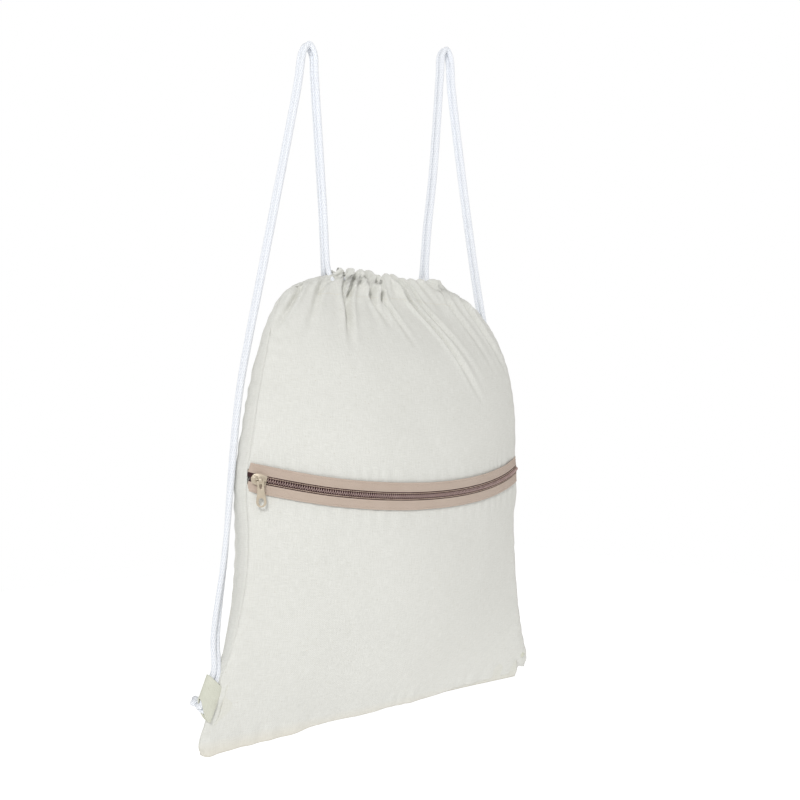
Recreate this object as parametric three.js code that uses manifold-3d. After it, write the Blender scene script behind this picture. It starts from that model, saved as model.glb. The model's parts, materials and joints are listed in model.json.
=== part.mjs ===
// Drawstring rucksack of natural canvas with a full-width front zip pocket.
// Millimetres, +Z up, the zip pocket faces -Y. The origin is the point midway between the two
// cord loops, where the bag is hung up; the whole bag hangs below it.
import * as THREE from 'three';
import Module from 'manifold-3d';

const wasm = await Module();
wasm.setup();

// ---- driving dimensions ----
const CLOTH = 1.0; // canvas with its folds and seams taken as one thickness
const SEAM_GAP = 3.0; // from the front cloth's side edge back to the back cloth's
const ACROSS = 24; // divisions across every panel, tape and chain half

// zip line: a circular arc in a plane that leans forward
const ZIP_RADIUS = 285;
const ZIP_HALF_CHORD = 160;
const ZIP_LEAN = THREE.MathUtils.degToRad(24);
const ZIP_END = new THREE.Vector3(0, -25, -405.5); // middle of the straight line between the ends
const TAPE_EDGE = 12; // outer edge of a tape, from the zip's centre line
const TAPE_INNER = 0.9;
const TAPE_THICK = 0.6;
const CHAIN_INNER = 0.8;
const CHAIN_OUTER = 3.0;
const CHAIN_LOW = 0.6;
const CHAIN_HIGH = 2.8;

// slider
const SLIDER_LENGTH = 13;
const SLIDER_WIDTH = 10;
const SLIDER_START = -(ZIP_HALF_CHORD - 9.2); // x of the slider when the zip is closed
const PLATE = 1.2;
const TOP_PLATE = 3.2; // underside of the upper plate above the tape's middle
const LOW_PLATE = -1.9; // underside of the lower plate
const BRIDGE_HEIGHT = 7.0; // centre of the bridge bar
const BRIDGE_RADIUS = 0.75;
const BRIDGE_HALF = 4.2;
const BRIDGE_SHIFT = 1.2; // towards the tail, clear of the crown
const PULL_LENGTH = 25;
const PULL_WIDTH = 8.6;
const PULL_THICK = 1.4;
const PULL_SWAY = THREE.MathUtils.degToRad(15); // how far the pull's eye sits askew on the bridge

// mouth and cord channels
const CHANNEL_HALF = 48;
const CHANNEL_LOW = -238.5;
const CHANNEL_HIGH = -223.2;
const CHANNEL_NEAR = 2.6; // face towards the mouth
const CHANNEL_FAR = 10.6;
const CHANNEL_MID = (CHANNEL_NEAR + CHANNEL_FAR) / 2;

// cords
const CORD_RADIUS = 2.5;
const LEFT_CORD_Z = -234.0; // height of each cord inside the channels
const RIGHT_CORD_Z = -227.8;
const LEFT_PEG = { x: 84, z: -17 };
const RIGHT_PEG = { x: 82, z: 17 };

// corner tabs: a folded strip, its tunnel running down and outwards
const TAB_WIDTH = 15;
const TAB_LENGTH = 26;
const TAB_DEPTH = 8;
const TAB_WALL = 1.0;
const TAB_SKEW = 0.5;
const TAB_TOP = new THREE.Vector3(173, -6, -576); // inner top corner, given for the +X side
const TAB_SLANT = Math.atan2(0.385, 0.923);
const RIGHT_TAB_TURN = THREE.MathUtils.degToRad(45); // the far tab is folded towards the back
const KNOT_RADIUS = 5.5;

// Cross-sections of the stuffed bag from mouth to bottom seam: height at the side edge, half
// width, y of the side edge, how far the front and the back swell, how far the middle dips.
const SECTIONS_ABOVE = [
  { z: -350, half: 154, side: -25, front: 44, back: 69, dip: 14 },
  { z: -300, half: 142, side: -22, front: 36, back: 56, dip: 8 },
  { z: -266, half: 129, side: -15, front: 23, back: 35, dip: 5 },
  { z: -244, half: 112, side: -9, front: 11, back: 20.5, dip: 4 },
  { z: -230, half: 86, side: -11.5, front: 2, back: 2.5, dip: 5 },
  { z: -220, half: 57, side: -12, front: 0, back: 0, dip: 4 },
];
const SECTION_AT_ZIP = { z: -405.5, half: 159.4, side: -23.7, front: 45, back: 73, dip: 20 };
const SECTIONS_BELOW = [
  { z: -458, half: 157, side: -24, front: 44, back: 73, dip: 14 },
  { z: -509, half: 160, side: -23, front: 37, back: 66, dip: 8 },
  { z: -561, half: 168, side: -18, front: 25, back: 47, dip: 4 },
  { z: -600, half: 178, side: -9, front: 11, back: 22, dip: 1 },
  { z: -624, half: 187, side: -3, front: 2.5, back: 4, dip: 0 },
  { z: -636, half: 188, side: -1.6, front: 0, back: 0.2, dip: 0 },
];

// ---- materials ----
function cloth(name, colour, roughness = 0.9) {
  return new THREE.MeshStandardMaterial({ name, color: colour, roughness, metalness: 0 });
}
const CANVAS = cloth('canvas', 0xdfdfd8);
const TAPE = cloth('zip_tape', 0xc0ab98);
const CHAIN = cloth('zip_chain', 0x5c4848, 0.5);
const CORD = cloth('cord', 0xecf0f4);
const TABS = cloth('tab_cloth', 0xd6d6c2);
const PAINTED = new THREE.MeshStandardMaterial({
  name: 'painted_zinc',
  color: 0xbcae96,
  roughness: 0.45,
  metalness: 0.3,
});

// ---- the zip's arc ----
const X = new THREE.Vector3(1, 0, 0);
const OUT = new THREE.Vector3(0, -Math.cos(ZIP_LEAN), -Math.sin(ZIP_LEAN));
const AXIS = new THREE.Vector3(0, -Math.sin(ZIP_LEAN), Math.cos(ZIP_LEAN));
const ZIP_HALF_ANGLE = Math.asin(ZIP_HALF_CHORD / ZIP_RADIUS);
const ZIP_CENTRE = ZIP_END.clone().addScaledVector(OUT, -ZIP_RADIUS * Math.cos(ZIP_HALF_ANGLE));

function radial(angle) {
  return OUT.clone().multiplyScalar(Math.cos(angle)).addScaledVector(X, Math.sin(angle));
}

// up along the tape's width, out of its face, and along the zip
function zipFrame(angle) {
  const r = radial(angle);
  const c = Math.cos(ZIP_LEAN);
  const s = Math.sin(ZIP_LEAN);
  return {
    up: AXIS.clone().multiplyScalar(c).addScaledVector(r, -s),
    out: r.clone().multiplyScalar(c).addScaledVector(AXIS, s),
    along: OUT.clone().multiplyScalar(-Math.sin(angle)).addScaledVector(X, Math.cos(angle)),
  };
}

function onZip(angle, up, out) {
  const f = zipFrame(angle);
  return ZIP_CENTRE.clone()
    .addScaledVector(radial(angle), ZIP_RADIUS)
    .addScaledVector(f.up, up)
    .addScaledVector(f.out, out);
}

// ---- bending a flat slab onto a surface(p, q), p in -1..1, q in 0..1 ----
function bentSlab(surface, thickness, nu, nv) {
  const geometry = new THREE.BoxGeometry(2, thickness, 1, nu, 1, nv);
  const at = geometry.attributes.position;
  const e = 1e-3;
  for (let i = 0; i < at.count; i += 1) {
    const p = at.getX(i);
    const q = at.getZ(i) + 0.5;
    const t = at.getY(i);
    const q0 = Math.max(0, q - e);
    const q1 = Math.min(1, q + e);
    const dq = surface(p, q1).sub(surface(p, q0));
    const dp = surface(p + e, q).sub(surface(p - e, q));
    const point = surface(p, q).addScaledVector(dq.cross(dp).normalize(), t);
    at.setXYZ(i, point.x, point.y, point.z);
  }
  geometry.computeVertexNormals();
  return geometry;
}

// position across a section (-1..1) as a share of its half width, and of its swelling
function shareAcross(p) {
  return Math.sin(p * ZIP_HALF_ANGLE) / Math.sin(ZIP_HALF_ANGLE);
}

function shareSwell(p) {
  const edge = Math.cos(ZIP_HALF_ANGLE);
  return (Math.cos(p * ZIP_HALF_ANGLE) - edge) / (1 - edge);
}

function frontPoint(section, p) {
  const g = shareSwell(p);
  return new THREE.Vector3(
    section.half * shareAcross(p),
    section.side - section.front * g,
    section.z - section.dip * g,
  );
}

function lineThrough(points) {
  const curve = new THREE.CatmullRomCurve3(points, false, 'centripetal');
  return (q) => curve.getPoint(Math.min(1, Math.max(0, q)));
}

// ---- panels ----
function frontUpperPanel() {
  const surface = (p, q) => {
    const angle = p * ZIP_HALF_ANGLE;
    const points = [onZip(angle, 6.5, -1.5), onZip(angle, 13, -1.5), onZip(angle, 24, -1.4)];
    SECTIONS_ABOVE.forEach((section) => points.push(frontPoint(section, p)));
    return lineThrough(points)(q);
  };
  return bentSlab(surface, CLOTH, ACROSS, 14);
}

function frontPocketPanel() {
  const surface = (p, q) => {
    const angle = p * ZIP_HALF_ANGLE;
    const points = [onZip(angle, -6.5, -1.5), onZip(angle, -13, -1.5), onZip(angle, -24, -1.6)];
    SECTIONS_BELOW.forEach((section) => points.push(frontPoint(section, p)));
    return lineThrough(points.reverse())(q);
  };
  return bentSlab(surface, CLOTH, ACROSS, 14);
}

// the pocket's inner wall hangs behind the zip, its middle slack away from the pocket panel
function pocketBackPanel() {
  const slack = [7, 9, 8, 4.5, 1.6];
  const surface = (p, q) => {
    const angle = p * ZIP_HALF_ANGLE * 0.985;
    const points = [onZip(angle, 13, -4.4), onZip(angle, 2, -4.6), onZip(angle, -12, -5.6)];
    SECTIONS_BELOW.slice(0, 5).forEach((section, i) => {
      const point = frontPoint({ ...section, half: section.half - 2.6 }, p);
      point.y += 1.5 + slack[i] * shareSwell(p);
      points.push(point);
    });
    const foot = new THREE.Vector3(182 * shareAcross(p), 0, -632);
    points.push(foot);
    return lineThrough(points.reverse())(q);
  };
  return bentSlab(surface, CLOTH, ACROSS, 12);
}

// the back is one cloth; its sections are full, rounded half ovals
function backPoint(section, p) {
  const a = (p * Math.PI) / 2;
  const blunt = 0.8;
  const across = Math.sign(p) * Math.abs(Math.sin(a)) ** blunt;
  const swell = Math.max(0, Math.cos(a)) ** blunt;
  const open = section.z > -243;
  const side = open ? -section.side : section.side + SEAM_GAP;
  return new THREE.Vector3(
    section.half * (open ? across * 0.5 + p * 0.5 : across),
    side + section.back * swell,
    section.z - section.dip * swell * 0.5,
  );
}

function backPanel() {
  const sections = [...SECTIONS_ABOVE].reverse();
  sections.push(SECTION_AT_ZIP, ...SECTIONS_BELOW);
  sections.reverse();
  const surface = (p, q) => {
    const inside = Math.min(1, Math.max(-1, p));
    return lineThrough(sections.map((section) => backPoint(section, inside)))(q);
  };
  return bentSlab(surface, CLOTH, ACROSS, 24);
}

// hem turned down inside the mouth and stitched into a tunnel for the cords
function cordChannel(side) {
  const depth = CHANNEL_FAR - CHANNEL_NEAR;
  const height = CHANNEL_HIGH - CHANNEL_LOW;
  const outline = new THREE.Shape();
  roundedBox(outline, depth, height, 2.4);
  const tunnel = new THREE.Path();
  roundedBox(tunnel, depth - 2 * CLOTH, height - 2 * CLOTH, 1.6);
  outline.holes.push(tunnel);
  const geometry = new THREE.ExtrudeGeometry(outline, {
    depth: 2 * CHANNEL_HALF,
    steps: 1,
    bevelEnabled: false,
    curveSegments: 3,
  });
  geometry.translate(0, 0, -CHANNEL_HALF);
  geometry.rotateX(Math.PI / 2);
  geometry.rotateZ(Math.PI / 2);
  geometry.translate(0, side * CHANNEL_MID, (CHANNEL_LOW + CHANNEL_HIGH) / 2);
  return geometry;
}

function roundedBox(path, width, height, radius) {
  const x = width / 2;
  const y = height / 2;
  path.moveTo(-x + radius, -y);
  path.lineTo(x - radius, -y);
  path.absarc(x - radius, -y + radius, radius, -Math.PI / 2, 0, false);
  path.lineTo(x, y - radius);
  path.absarc(x - radius, y - radius, radius, 0, Math.PI / 2, false);
  path.lineTo(-x + radius, y);
  path.absarc(-x + radius, y - radius, radius, Math.PI / 2, Math.PI, false);
  path.lineTo(-x, -y + radius);
  path.absarc(-x + radius, -y + radius, radius, Math.PI, Math.PI * 1.5, false);
}

// ---- zip ----
function zipStrip(from, to, low, high) {
  const middle = (low + high) / 2;
  const surface = (p, q) => onZip(p * ZIP_HALF_ANGLE, from + (to - from) * q, middle);
  return bentSlab(surface, high - low, ACROSS, 1);
}

// ---- slider, built along +X with its plates facing +Z, then set on the zip ----
function solidOf(geometry) {
  const flat = geometry.index ? geometry.toNonIndexed() : geometry;
  const from = flat.attributes.position;
  const seen = new Map();
  const vertices = [];
  const triangles = [];
  for (let i = 0; i < from.count; i += 1) {
    const v = [from.getX(i), from.getY(i), from.getZ(i)];
    const key = v.map((n) => Math.round(n * 1e4)).join();
    if (!seen.has(key)) {
      seen.set(key, vertices.length / 3);
      vertices.push(...v);
    }
    triangles.push(seen.get(key));
  }
  const kept = [];
  for (let i = 0; i < triangles.length; i += 3) {
    const [a, b, c] = triangles.slice(i, i + 3);
    if (a !== b && b !== c && a !== c) kept.push(a, b, c);
  }
  return new wasm.Manifold(
    new wasm.Mesh({
      numProp: 3,
      vertProperties: new Float32Array(vertices),
      triVerts: new Uint32Array(kept),
    }),
  );
}

function geometryOf(solid) {
  const mesh = solid.getMesh();
  const geometry = new THREE.BufferGeometry();
  geometry.setAttribute('position', new THREE.Float32BufferAttribute(mesh.vertProperties, 3));
  geometry.setIndex(Array.from(mesh.triVerts));
  const flat = geometry.toNonIndexed();
  flat.computeVertexNormals();
  return flat;
}

// plate outline: round nose at -X where the chain halves enter, straight narrower tail at +X
function sliderOutline(half, tail) {
  const length = SLIDER_LENGTH / 2;
  const shape = new THREE.Shape();
  shape.moveTo(length, -tail + 0.8);
  shape.lineTo(length, tail - 0.8);
  shape.quadraticCurveTo(length, tail, length - 0.8, tail);
  shape.lineTo(-1, half);
  shape.quadraticCurveTo(-length, half, -length, 1.6);
  shape.lineTo(-length, -1.6);
  shape.quadraticCurveTo(-length, -half, -1, -half);
  shape.lineTo(length - 0.8, -tail);
  shape.quadraticCurveTo(length, -tail, length, -tail + 0.8);
  return shape;
}

function slab(shape, low, high) {
  const geometry = new THREE.ExtrudeGeometry(shape, {
    depth: high - low,
    bevelEnabled: false,
    curveSegments: 6,
  });
  geometry.translate(0, 0, low);
  return solidOf(geometry);
}

function block(x0, x1, y0, y1, z0, z1) {
  const geometry = new THREE.BoxGeometry(x1 - x0, y1 - y0, z1 - z0);
  geometry.translate((x0 + x1) / 2, (y0 + y1) / 2, (z0 + z1) / 2);
  return solidOf(geometry);
}

function sliderBody() {
  const top = TOP_PLATE + PLATE;
  const wide = SLIDER_WIDTH / 2;
  let solid = slab(sliderOutline(wide, wide - 0.6), TOP_PLATE, top);
  solid = solid.add(slab(sliderOutline(wide - 0.2, wide - 0.8), LOW_PLATE, LOW_PLATE + PLATE));
  // side flanges, turned down from the upper plate to just above the tapes
  [-1, 1].forEach((side) => {
    const outer = Math.max(side * 3.4, side * 4.4);
    const inner = Math.min(side * 3.4, side * 4.4);
    solid = solid.add(block(-1, SLIDER_LENGTH / 2 - 0.6, inner, outer, 0.7, TOP_PLATE + 0.2));
  });
  // neck that joins the plates and parts the chain
  solid = solid.add(block(-5.6, -2.4, -0.5, 0.5, LOW_PLATE + 0.2, TOP_PLATE + 0.2));
  // low crown over the neck
  const dome = new THREE.LatheGeometry(
    [
      new THREE.Vector2(0, -0.4),
      new THREE.Vector2(2.6, -0.4),
      new THREE.Vector2(2.6, 0.4),
      new THREE.Vector2(2.2, 1.1),
      new THREE.Vector2(1.2, 1.6),
      new THREE.Vector2(0, 1.8),
    ],
    20,
  );
  dome.rotateX(Math.PI / 2);
  dome.translate(-3.9, 0, top);
  solid = solid.add(solidOf(dome));
  // bridge: two posts and a round bar along the zip
  [-1, 1].forEach((side) => {
    const x = BRIDGE_SHIFT + side * BRIDGE_HALF;
    solid = solid.add(block(x - 0.7, x + 0.7, -0.9, 0.9, top - 0.2, BRIDGE_HEIGHT + 0.8));
  });
  const bar = new THREE.CylinderGeometry(BRIDGE_RADIUS, BRIDGE_RADIUS, 2 * BRIDGE_HALF, 16);
  bar.rotateZ(Math.PI / 2);
  bar.translate(BRIDGE_SHIFT, 0, BRIDGE_HEIGHT);
  solid = solid.add(solidOf(bar));
  return geometryOf(solid);
}

// pull: a flat tongue with a rolled eye round the bridge, a window below the eye and an oval
// hole near its round end; built with the eye on the origin, hanging to -Y, face to +Z
function pullTab() {
  const end = PULL_LENGTH - 2;
  const neck = 2.6;
  const wide = PULL_WIDTH / 2;
  const shape = new THREE.Shape();
  shape.moveTo(-neck, -1.2);
  shape.lineTo(-neck, -9);
  shape.bezierCurveTo(-neck, -12, -wide, -12, -wide, -end + wide);
  shape.absarc(0, -end + wide, wide, Math.PI, Math.PI * 2, false);
  shape.bezierCurveTo(wide, -12, neck, -12, neck, -9);
  shape.lineTo(neck, -1.2);
  const window = new THREE.Path();
  window.moveTo(-1.1, -3.4);
  window.lineTo(1.1, -3.4);
  window.lineTo(0.8, -7.4);
  window.lineTo(-0.8, -7.4);
  const hole = new THREE.Path();
  hole.absellipse(0, -end + wide + 0.4, 1.9, 3.0, 0, Math.PI * 2, true);
  shape.holes.push(window, hole);
  let solid = slab(shape, -PULL_THICK / 2, PULL_THICK / 2);
  const roll = new THREE.CylinderGeometry(2.3, 2.3, 2.6, 24);
  roll.rotateZ(Math.PI / 2);
  solid = solid.add(solidOf(roll));
  const bore = new THREE.CylinderGeometry(1.45, 1.45, 8, 24);
  bore.rotateZ(Math.PI / 2);
  solid = solid.subtract(solidOf(bore));
  return geometryOf(solid);
}

const SLIDER_ANGLE = Math.asin(SLIDER_START / ZIP_RADIUS);

function setOnZip(geometry) {
  const f = zipFrame(SLIDER_ANGLE);
  const place = new THREE.Matrix4().makeBasis(f.along, f.up, f.out);
  place.setPosition(onZip(SLIDER_ANGLE, 0, 0));
  return geometry.applyMatrix4(place);
}

function setOnBridge(geometry) {
  const f = zipFrame(SLIDER_ANGLE);
  const hinge = f.along.clone().multiplyScalar(Math.cos(PULL_SWAY));
  hinge.addScaledVector(f.up, Math.sin(PULL_SWAY)).normalize();
  const down = new THREE.Vector3(0, 0, -1);
  down.addScaledVector(hinge, -down.dot(hinge)).normalize();
  const up = down.clone().negate();
  const place = new THREE.Matrix4().makeBasis(hinge, up, hinge.clone().cross(up));
  place.setPosition(onZip(SLIDER_ANGLE, 0, BRIDGE_HEIGHT).addScaledVector(f.along, BRIDGE_SHIFT));
  return geometry.applyMatrix4(place);
}

// ---- corner tabs, knots and cords; side is -1 for -X and +1 for +X ----
// local frame of a tab: a outwards from the seam to the fold, b through its thickness towards
// the back of the bag, d down the tunnel
function tabFrame(side) {
  const turn = side > 0 ? RIGHT_TAB_TURN : 0;
  const d = new THREE.Vector3(side * Math.sin(TAB_SLANT), 0, -Math.cos(TAB_SLANT));
  const a = new THREE.Vector3(side * Math.cos(TAB_SLANT), 0, Math.sin(TAB_SLANT));
  a.applyAxisAngle(d, -turn);
  const b = d.clone().cross(a).multiplyScalar(-side);
  const origin = new THREE.Vector3(side * TAB_TOP.x, TAB_TOP.y, TAB_TOP.z);
  return { a, b, d, origin };
}

function inTab(side, a, b, d) {
  const f = tabFrame(side);
  const skewed = d + TAB_SKEW * (TAB_WIDTH - a);
  return f.origin.clone().addScaledVector(f.a, a).addScaledVector(f.b, b).addScaledVector(f.d, skewed);
}

function cornerTab(side) {
  const outline = new THREE.Shape();
  roundedBox(outline, TAB_WIDTH, TAB_DEPTH, 3.6);
  const tunnel = new THREE.Path();
  roundedBox(tunnel, TAB_WIDTH - 2 * TAB_WALL, TAB_DEPTH - 2 * TAB_WALL, 2.6);
  outline.holes.push(tunnel);
  const geometry = new THREE.ExtrudeGeometry(outline, {
    depth: TAB_LENGTH,
    steps: 1,
    bevelEnabled: false,
    curveSegments: 4,
  });
  const at = geometry.attributes.position;
  for (let i = 0; i < at.count; i += 1) {
    const point = inTab(side, at.getX(i) + TAB_WIDTH / 2, -side * at.getY(i), at.getZ(i));
    at.setXYZ(i, point.x, point.y, point.z);
  }
  geometry.computeVertexNormals();
  return geometry;
}

function knotCentre(side) {
  return inTab(side, 12.6, 9.9, 32);
}

function knot(side) {
  const geometry = new THREE.SphereGeometry(KNOT_RADIUS, 20, 12);
  geometry.scale(1, 0.95, 1.1);
  const c = knotCentre(side);
  geometry.translate(c.x, c.y, c.z);
  return geometry;
}

// one strand from its cord channel up over the peg, down past the side and through the tab;
// layer is -1 for the strand from the front channel, +1 for the one from the back channel
function strand(side, layer, z, peg) {
  const v = (x, y, h) => new THREE.Vector3(side * x, y, h);
  const outer = layer < 0 ? 1 : 0;
  const points = [
    v(40, layer * CHANNEL_MID, z),
    v(51, layer * CHANNEL_MID, z),
    v(57.5, layer * 6.2, z + 1.2),
    v(62.5, layer * 5.8, z + 6.5),
    v(64.5, layer * 5.0, z + 16),
    v(67.5, layer * 3.6, -170),
    v(72, layer * 2.9, -110),
    v(peg.x - 6.8, layer * 2.8, peg.z - 26),
    v(peg.x - 5.4, layer * 2.8, peg.z - 7),
    v(peg.x, layer * 2.8, peg.z),
    v(peg.x + 5.4, layer * 2.8, peg.z - 7),
    v(peg.x + 9, layer * 2.8, peg.z - 40),
    v(125, layer * 2.8, -215),
    v(149 + 1.2 * outer, layer * 2.8, -320),
    v(156.5 + 1.4 * outer, layer * 2.8, -354),
    v(162.5 + 1.8 * outer, layer * 2.8, -405),
    v(166 + 3.4 * outer, layer * 2.5 - 0.6, -470),
    v(171.5 + 5.2 * outer, layer * 1.4 - 2.6, -540),
  ];
  const across = outer ? 10.2 : 4.6;
  points.push(inTab(side, across, 0, -6), inTab(side, across, 0, 4), inTab(side, across, 0, 20));
  points.push(inTab(side, across, 0, 27));
  points.push(inTab(side, across + 0.3, outer ? 0.6 : 1.4, 31));
  const c = knotCentre(side);
  const last = outer ? inTab(side, 11, 1.5, 37) : inTab(side, 6.2, 6.5, 36);
  points.push(c.clone().add(last.sub(c).setLength(KNOT_RADIUS * 1.1 + 2.2)));
  return points;
}

// a cord runs from its knot up the side, over the peg, through the front channel, round the
// far end of the mouth, back through the back channel and down to the same knot
function cord(side, z, peg) {
  const far = (x, y) => new THREE.Vector3(-side * x, y, z);
  const there = strand(side, -1, z, peg).reverse();
  const back = strand(side, 1, z, peg);
  const round = [
    far(0, -CHANNEL_MID),
    far(40, -CHANNEL_MID),
    far(50, -CHANNEL_MID),
    far(54.8, -5.2),
    far(57.2, 0),
    far(54.8, 5.2),
    far(50, CHANNEL_MID),
    far(40, CHANNEL_MID),
    far(0, CHANNEL_MID),
  ];
  const points = [...there, ...round, ...back];
  const path = new THREE.CatmullRomCurve3(points, false, 'centripetal');
  // rings follow the control points, so the tight bends get more of them
  path.getPointAt = path.getPoint;
  path.getTangentAt = path.getTangent;
  const section = new THREE.Shape();
  section.absarc(0, 0, CORD_RADIUS, 0, Math.PI * 2, false);
  return new THREE.ExtrudeGeometry(section, {
    steps: 2 * (points.length - 1),
    extrudePath: path,
    curveSegments: 4,
    bevelEnabled: false,
  });
}

// ---- assembly ----
const group = new THREE.Group();
group.name = 'drawstring_rucksack';

function addPart(name, geometry, material) {
  const mesh = new THREE.Mesh(geometry, material);
  mesh.name = name;
  group.add(mesh);
}

addPart('front_upper_panel', frontUpperPanel(), CANVAS);
addPart('front_pocket_panel', frontPocketPanel(), CANVAS);
addPart('pocket_back_panel', pocketBackPanel(), CANVAS);
addPart('back_panel', backPanel(), CANVAS);
addPart('front_cord_channel', cordChannel(-1), CANVAS);
addPart('back_cord_channel', cordChannel(1), CANVAS);
addPart('zip_tape_upper', zipStrip(TAPE_INNER, TAPE_EDGE, -TAPE_THICK / 2, TAPE_THICK / 2), TAPE);
addPart('zip_tape_lower', zipStrip(-TAPE_EDGE, -TAPE_INNER, -TAPE_THICK / 2, TAPE_THICK / 2), TAPE);
addPart('zip_chain_upper', zipStrip(CHAIN_INNER, CHAIN_OUTER, CHAIN_LOW, CHAIN_HIGH), CHAIN);
addPart('zip_chain_lower', zipStrip(-CHAIN_OUTER, -CHAIN_INNER, CHAIN_LOW, CHAIN_HIGH), CHAIN);
addPart('zip_slider', setOnZip(sliderBody()), PAINTED);
addPart('pull_tab', setOnBridge(pullTab()), PAINTED);
addPart('left_corner_tab', cornerTab(-1), TABS);
addPart('right_corner_tab', cornerTab(1), TABS);
addPart('left_cord', cord(-1, LEFT_CORD_Z, LEFT_PEG), CORD);
addPart('right_cord', cord(1, RIGHT_CORD_Z, RIGHT_PEG), CORD);
addPart('left_knot', knot(-1), CORD);
addPart('right_knot', knot(1), CORD);

export default group;
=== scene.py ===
# %% [markdown]
# # A drawstring rucksack, hanging by its cords
#
# The bag is natural canvas, stuffed full, gathered at the mouth by two braided cords. Each cord
# runs over a peg, down the side and ends in a knot at a corner tab. A zip pocket crosses the
# front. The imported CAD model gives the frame: every piece here is made in millimetres in that
# frame, then written to its mesh in metres, so nothing has to be fitted afterwards.

# %% Load the frame
import json
import math

import bmesh
import bpy
import numpy as np
from mathutils import Matrix, Vector

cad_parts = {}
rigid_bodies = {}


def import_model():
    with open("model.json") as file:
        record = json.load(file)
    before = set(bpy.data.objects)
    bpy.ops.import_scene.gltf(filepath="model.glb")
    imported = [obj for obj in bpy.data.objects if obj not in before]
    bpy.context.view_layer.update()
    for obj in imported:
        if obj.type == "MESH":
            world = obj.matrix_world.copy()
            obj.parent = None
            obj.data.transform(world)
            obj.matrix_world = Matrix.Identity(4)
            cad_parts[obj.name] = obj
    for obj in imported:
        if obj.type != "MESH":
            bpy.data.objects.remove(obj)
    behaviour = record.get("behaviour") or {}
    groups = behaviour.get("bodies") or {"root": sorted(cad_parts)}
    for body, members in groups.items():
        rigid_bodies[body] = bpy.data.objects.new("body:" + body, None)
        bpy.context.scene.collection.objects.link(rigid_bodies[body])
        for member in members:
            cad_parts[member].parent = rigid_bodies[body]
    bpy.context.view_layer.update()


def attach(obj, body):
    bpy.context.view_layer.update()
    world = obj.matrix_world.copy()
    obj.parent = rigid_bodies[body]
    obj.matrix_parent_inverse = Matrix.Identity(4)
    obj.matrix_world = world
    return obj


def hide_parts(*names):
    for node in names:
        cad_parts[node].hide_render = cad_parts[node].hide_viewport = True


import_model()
MM = 0.001

# %% [markdown]
# ## Camera
#
# The bag is seen from its left, from about the height of the zip, and from less than a metre
# away, which is why the near corner looks so much bigger than the far one. A small lens shift
# places it in the picture; the camera itself stays level so that hanging cords stay upright.

# %% Set the camera
EYE_TURN = math.radians(-38)
EYE_DISTANCE = 0.94
EYE_HEIGHT = -0.359
FOCAL = 44.1
SENSOR_WIDTH = 36
LENS_SHIFT = (0.02375, 0.0275)

camera_data = bpy.data.cameras.new("eye")
camera_data.lens = FOCAL
camera_data.sensor_width = SENSOR_WIDTH
camera_data.shift_x, camera_data.shift_y = LENS_SHIFT
camera = bpy.data.objects.new("eye", camera_data)
bpy.context.scene.collection.objects.link(camera)
camera.location = (
    EYE_DISTANCE * math.sin(EYE_TURN),
    -EYE_DISTANCE * math.cos(EYE_TURN),
    EYE_HEIGHT,
)
camera.rotation_euler = (math.pi / 2, 0, EYE_TURN)
bpy.context.scene.camera = camera
print("camera at", [round(c, 3) for c in camera.location])

# %% [markdown]
# ## Helpers: smooth lines, tubes and grids
#
# Two kinds of shape cover most of a bag. A *cord* is a round section carried along a smooth
# line. A *panel* is a grid of points on a bent surface. The smooth line is a centripetal
# Catmull-Rom spline, the same rule that the CAD source uses, so both models agree.

# %% A smooth line through points
def spline(points, positions):
    """points (K, ..., 3), positions 0..1 (M,) -> (M, ..., 3), through every control point."""
    pts = np.asarray(points, float)
    first = 2 * pts[:1] - pts[1:2]
    last = 2 * pts[-1:] - pts[-2:-1]
    pts = np.concatenate([first, pts, last])
    spans = len(pts) - 3
    at = np.clip(np.asarray(positions, float), 0, 1) * spans
    span = np.minimum(at.astype(int), spans - 1)
    t = (at - span).reshape((-1,) + (1,) * (pts.ndim - 1))
    p0, p1, p2, p3 = (pts[span + k] for k in range(4))

    def step(a, b):
        return np.maximum(np.linalg.norm(b - a, axis=-1, keepdims=True) ** 0.5, 1e-4)

    d0, d1, d2 = step(p0, p1), step(p1, p2), step(p2, p3)
    m1 = ((p1 - p0) / d0 - (p2 - p0) / (d0 + d1) + (p2 - p1) / d1) * d1
    m2 = ((p2 - p1) / d1 - (p3 - p1) / (d1 + d2) + (p3 - p2) / d2) * d1
    a = 2 * p1 - 2 * p2 + m1 + m2
    b = -3 * p1 + 3 * p2 - 2 * m1 - m2
    return a * t**3 + b * t**2 + m1 * t + p1


def distance_along(line):
    return np.concatenate([[0], np.cumsum(np.linalg.norm(np.diff(line, axis=0), axis=1))])


def even_steps(line, step):
    """The same line with points an equal distance apart."""
    length = distance_along(line)
    count = max(8, int(round(length[-1] / step)))
    want = np.linspace(0, length[-1], count + 1)
    return np.stack([np.interp(want, length, line[:, k]) for k in range(3)], axis=1), want


def unit(v):
    return v / np.maximum(np.linalg.norm(v, axis=-1, keepdims=True), 1e-12)


# %% Meshes from arrays
def add_object(name, data):
    obj = bpy.data.objects.new(name, data)
    bpy.context.scene.collection.objects.link(obj)
    return obj


def new_object(name, verts_mm, faces):
    mesh = bpy.data.meshes.new(name)
    mesh.from_pydata((np.asarray(verts_mm, float) * MM).tolist(), [], faces)
    mesh.polygons.foreach_set("use_smooth", [True] * len(mesh.polygons))
    mesh.update()
    return add_object(name, mesh)


def write_uv(obj, uv_of_vertex):
    """uv_of_vertex in metres of cloth, so that patterns have their real size."""
    layer = obj.data.uv_layers.new(name="cloth")
    index = np.zeros(len(obj.data.loops), int)
    obj.data.loops.foreach_get("vertex_index", index)
    layer.data.foreach_set("uv", np.asarray(uv_of_vertex, float)[index].astype(np.float32).ravel())


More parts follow.
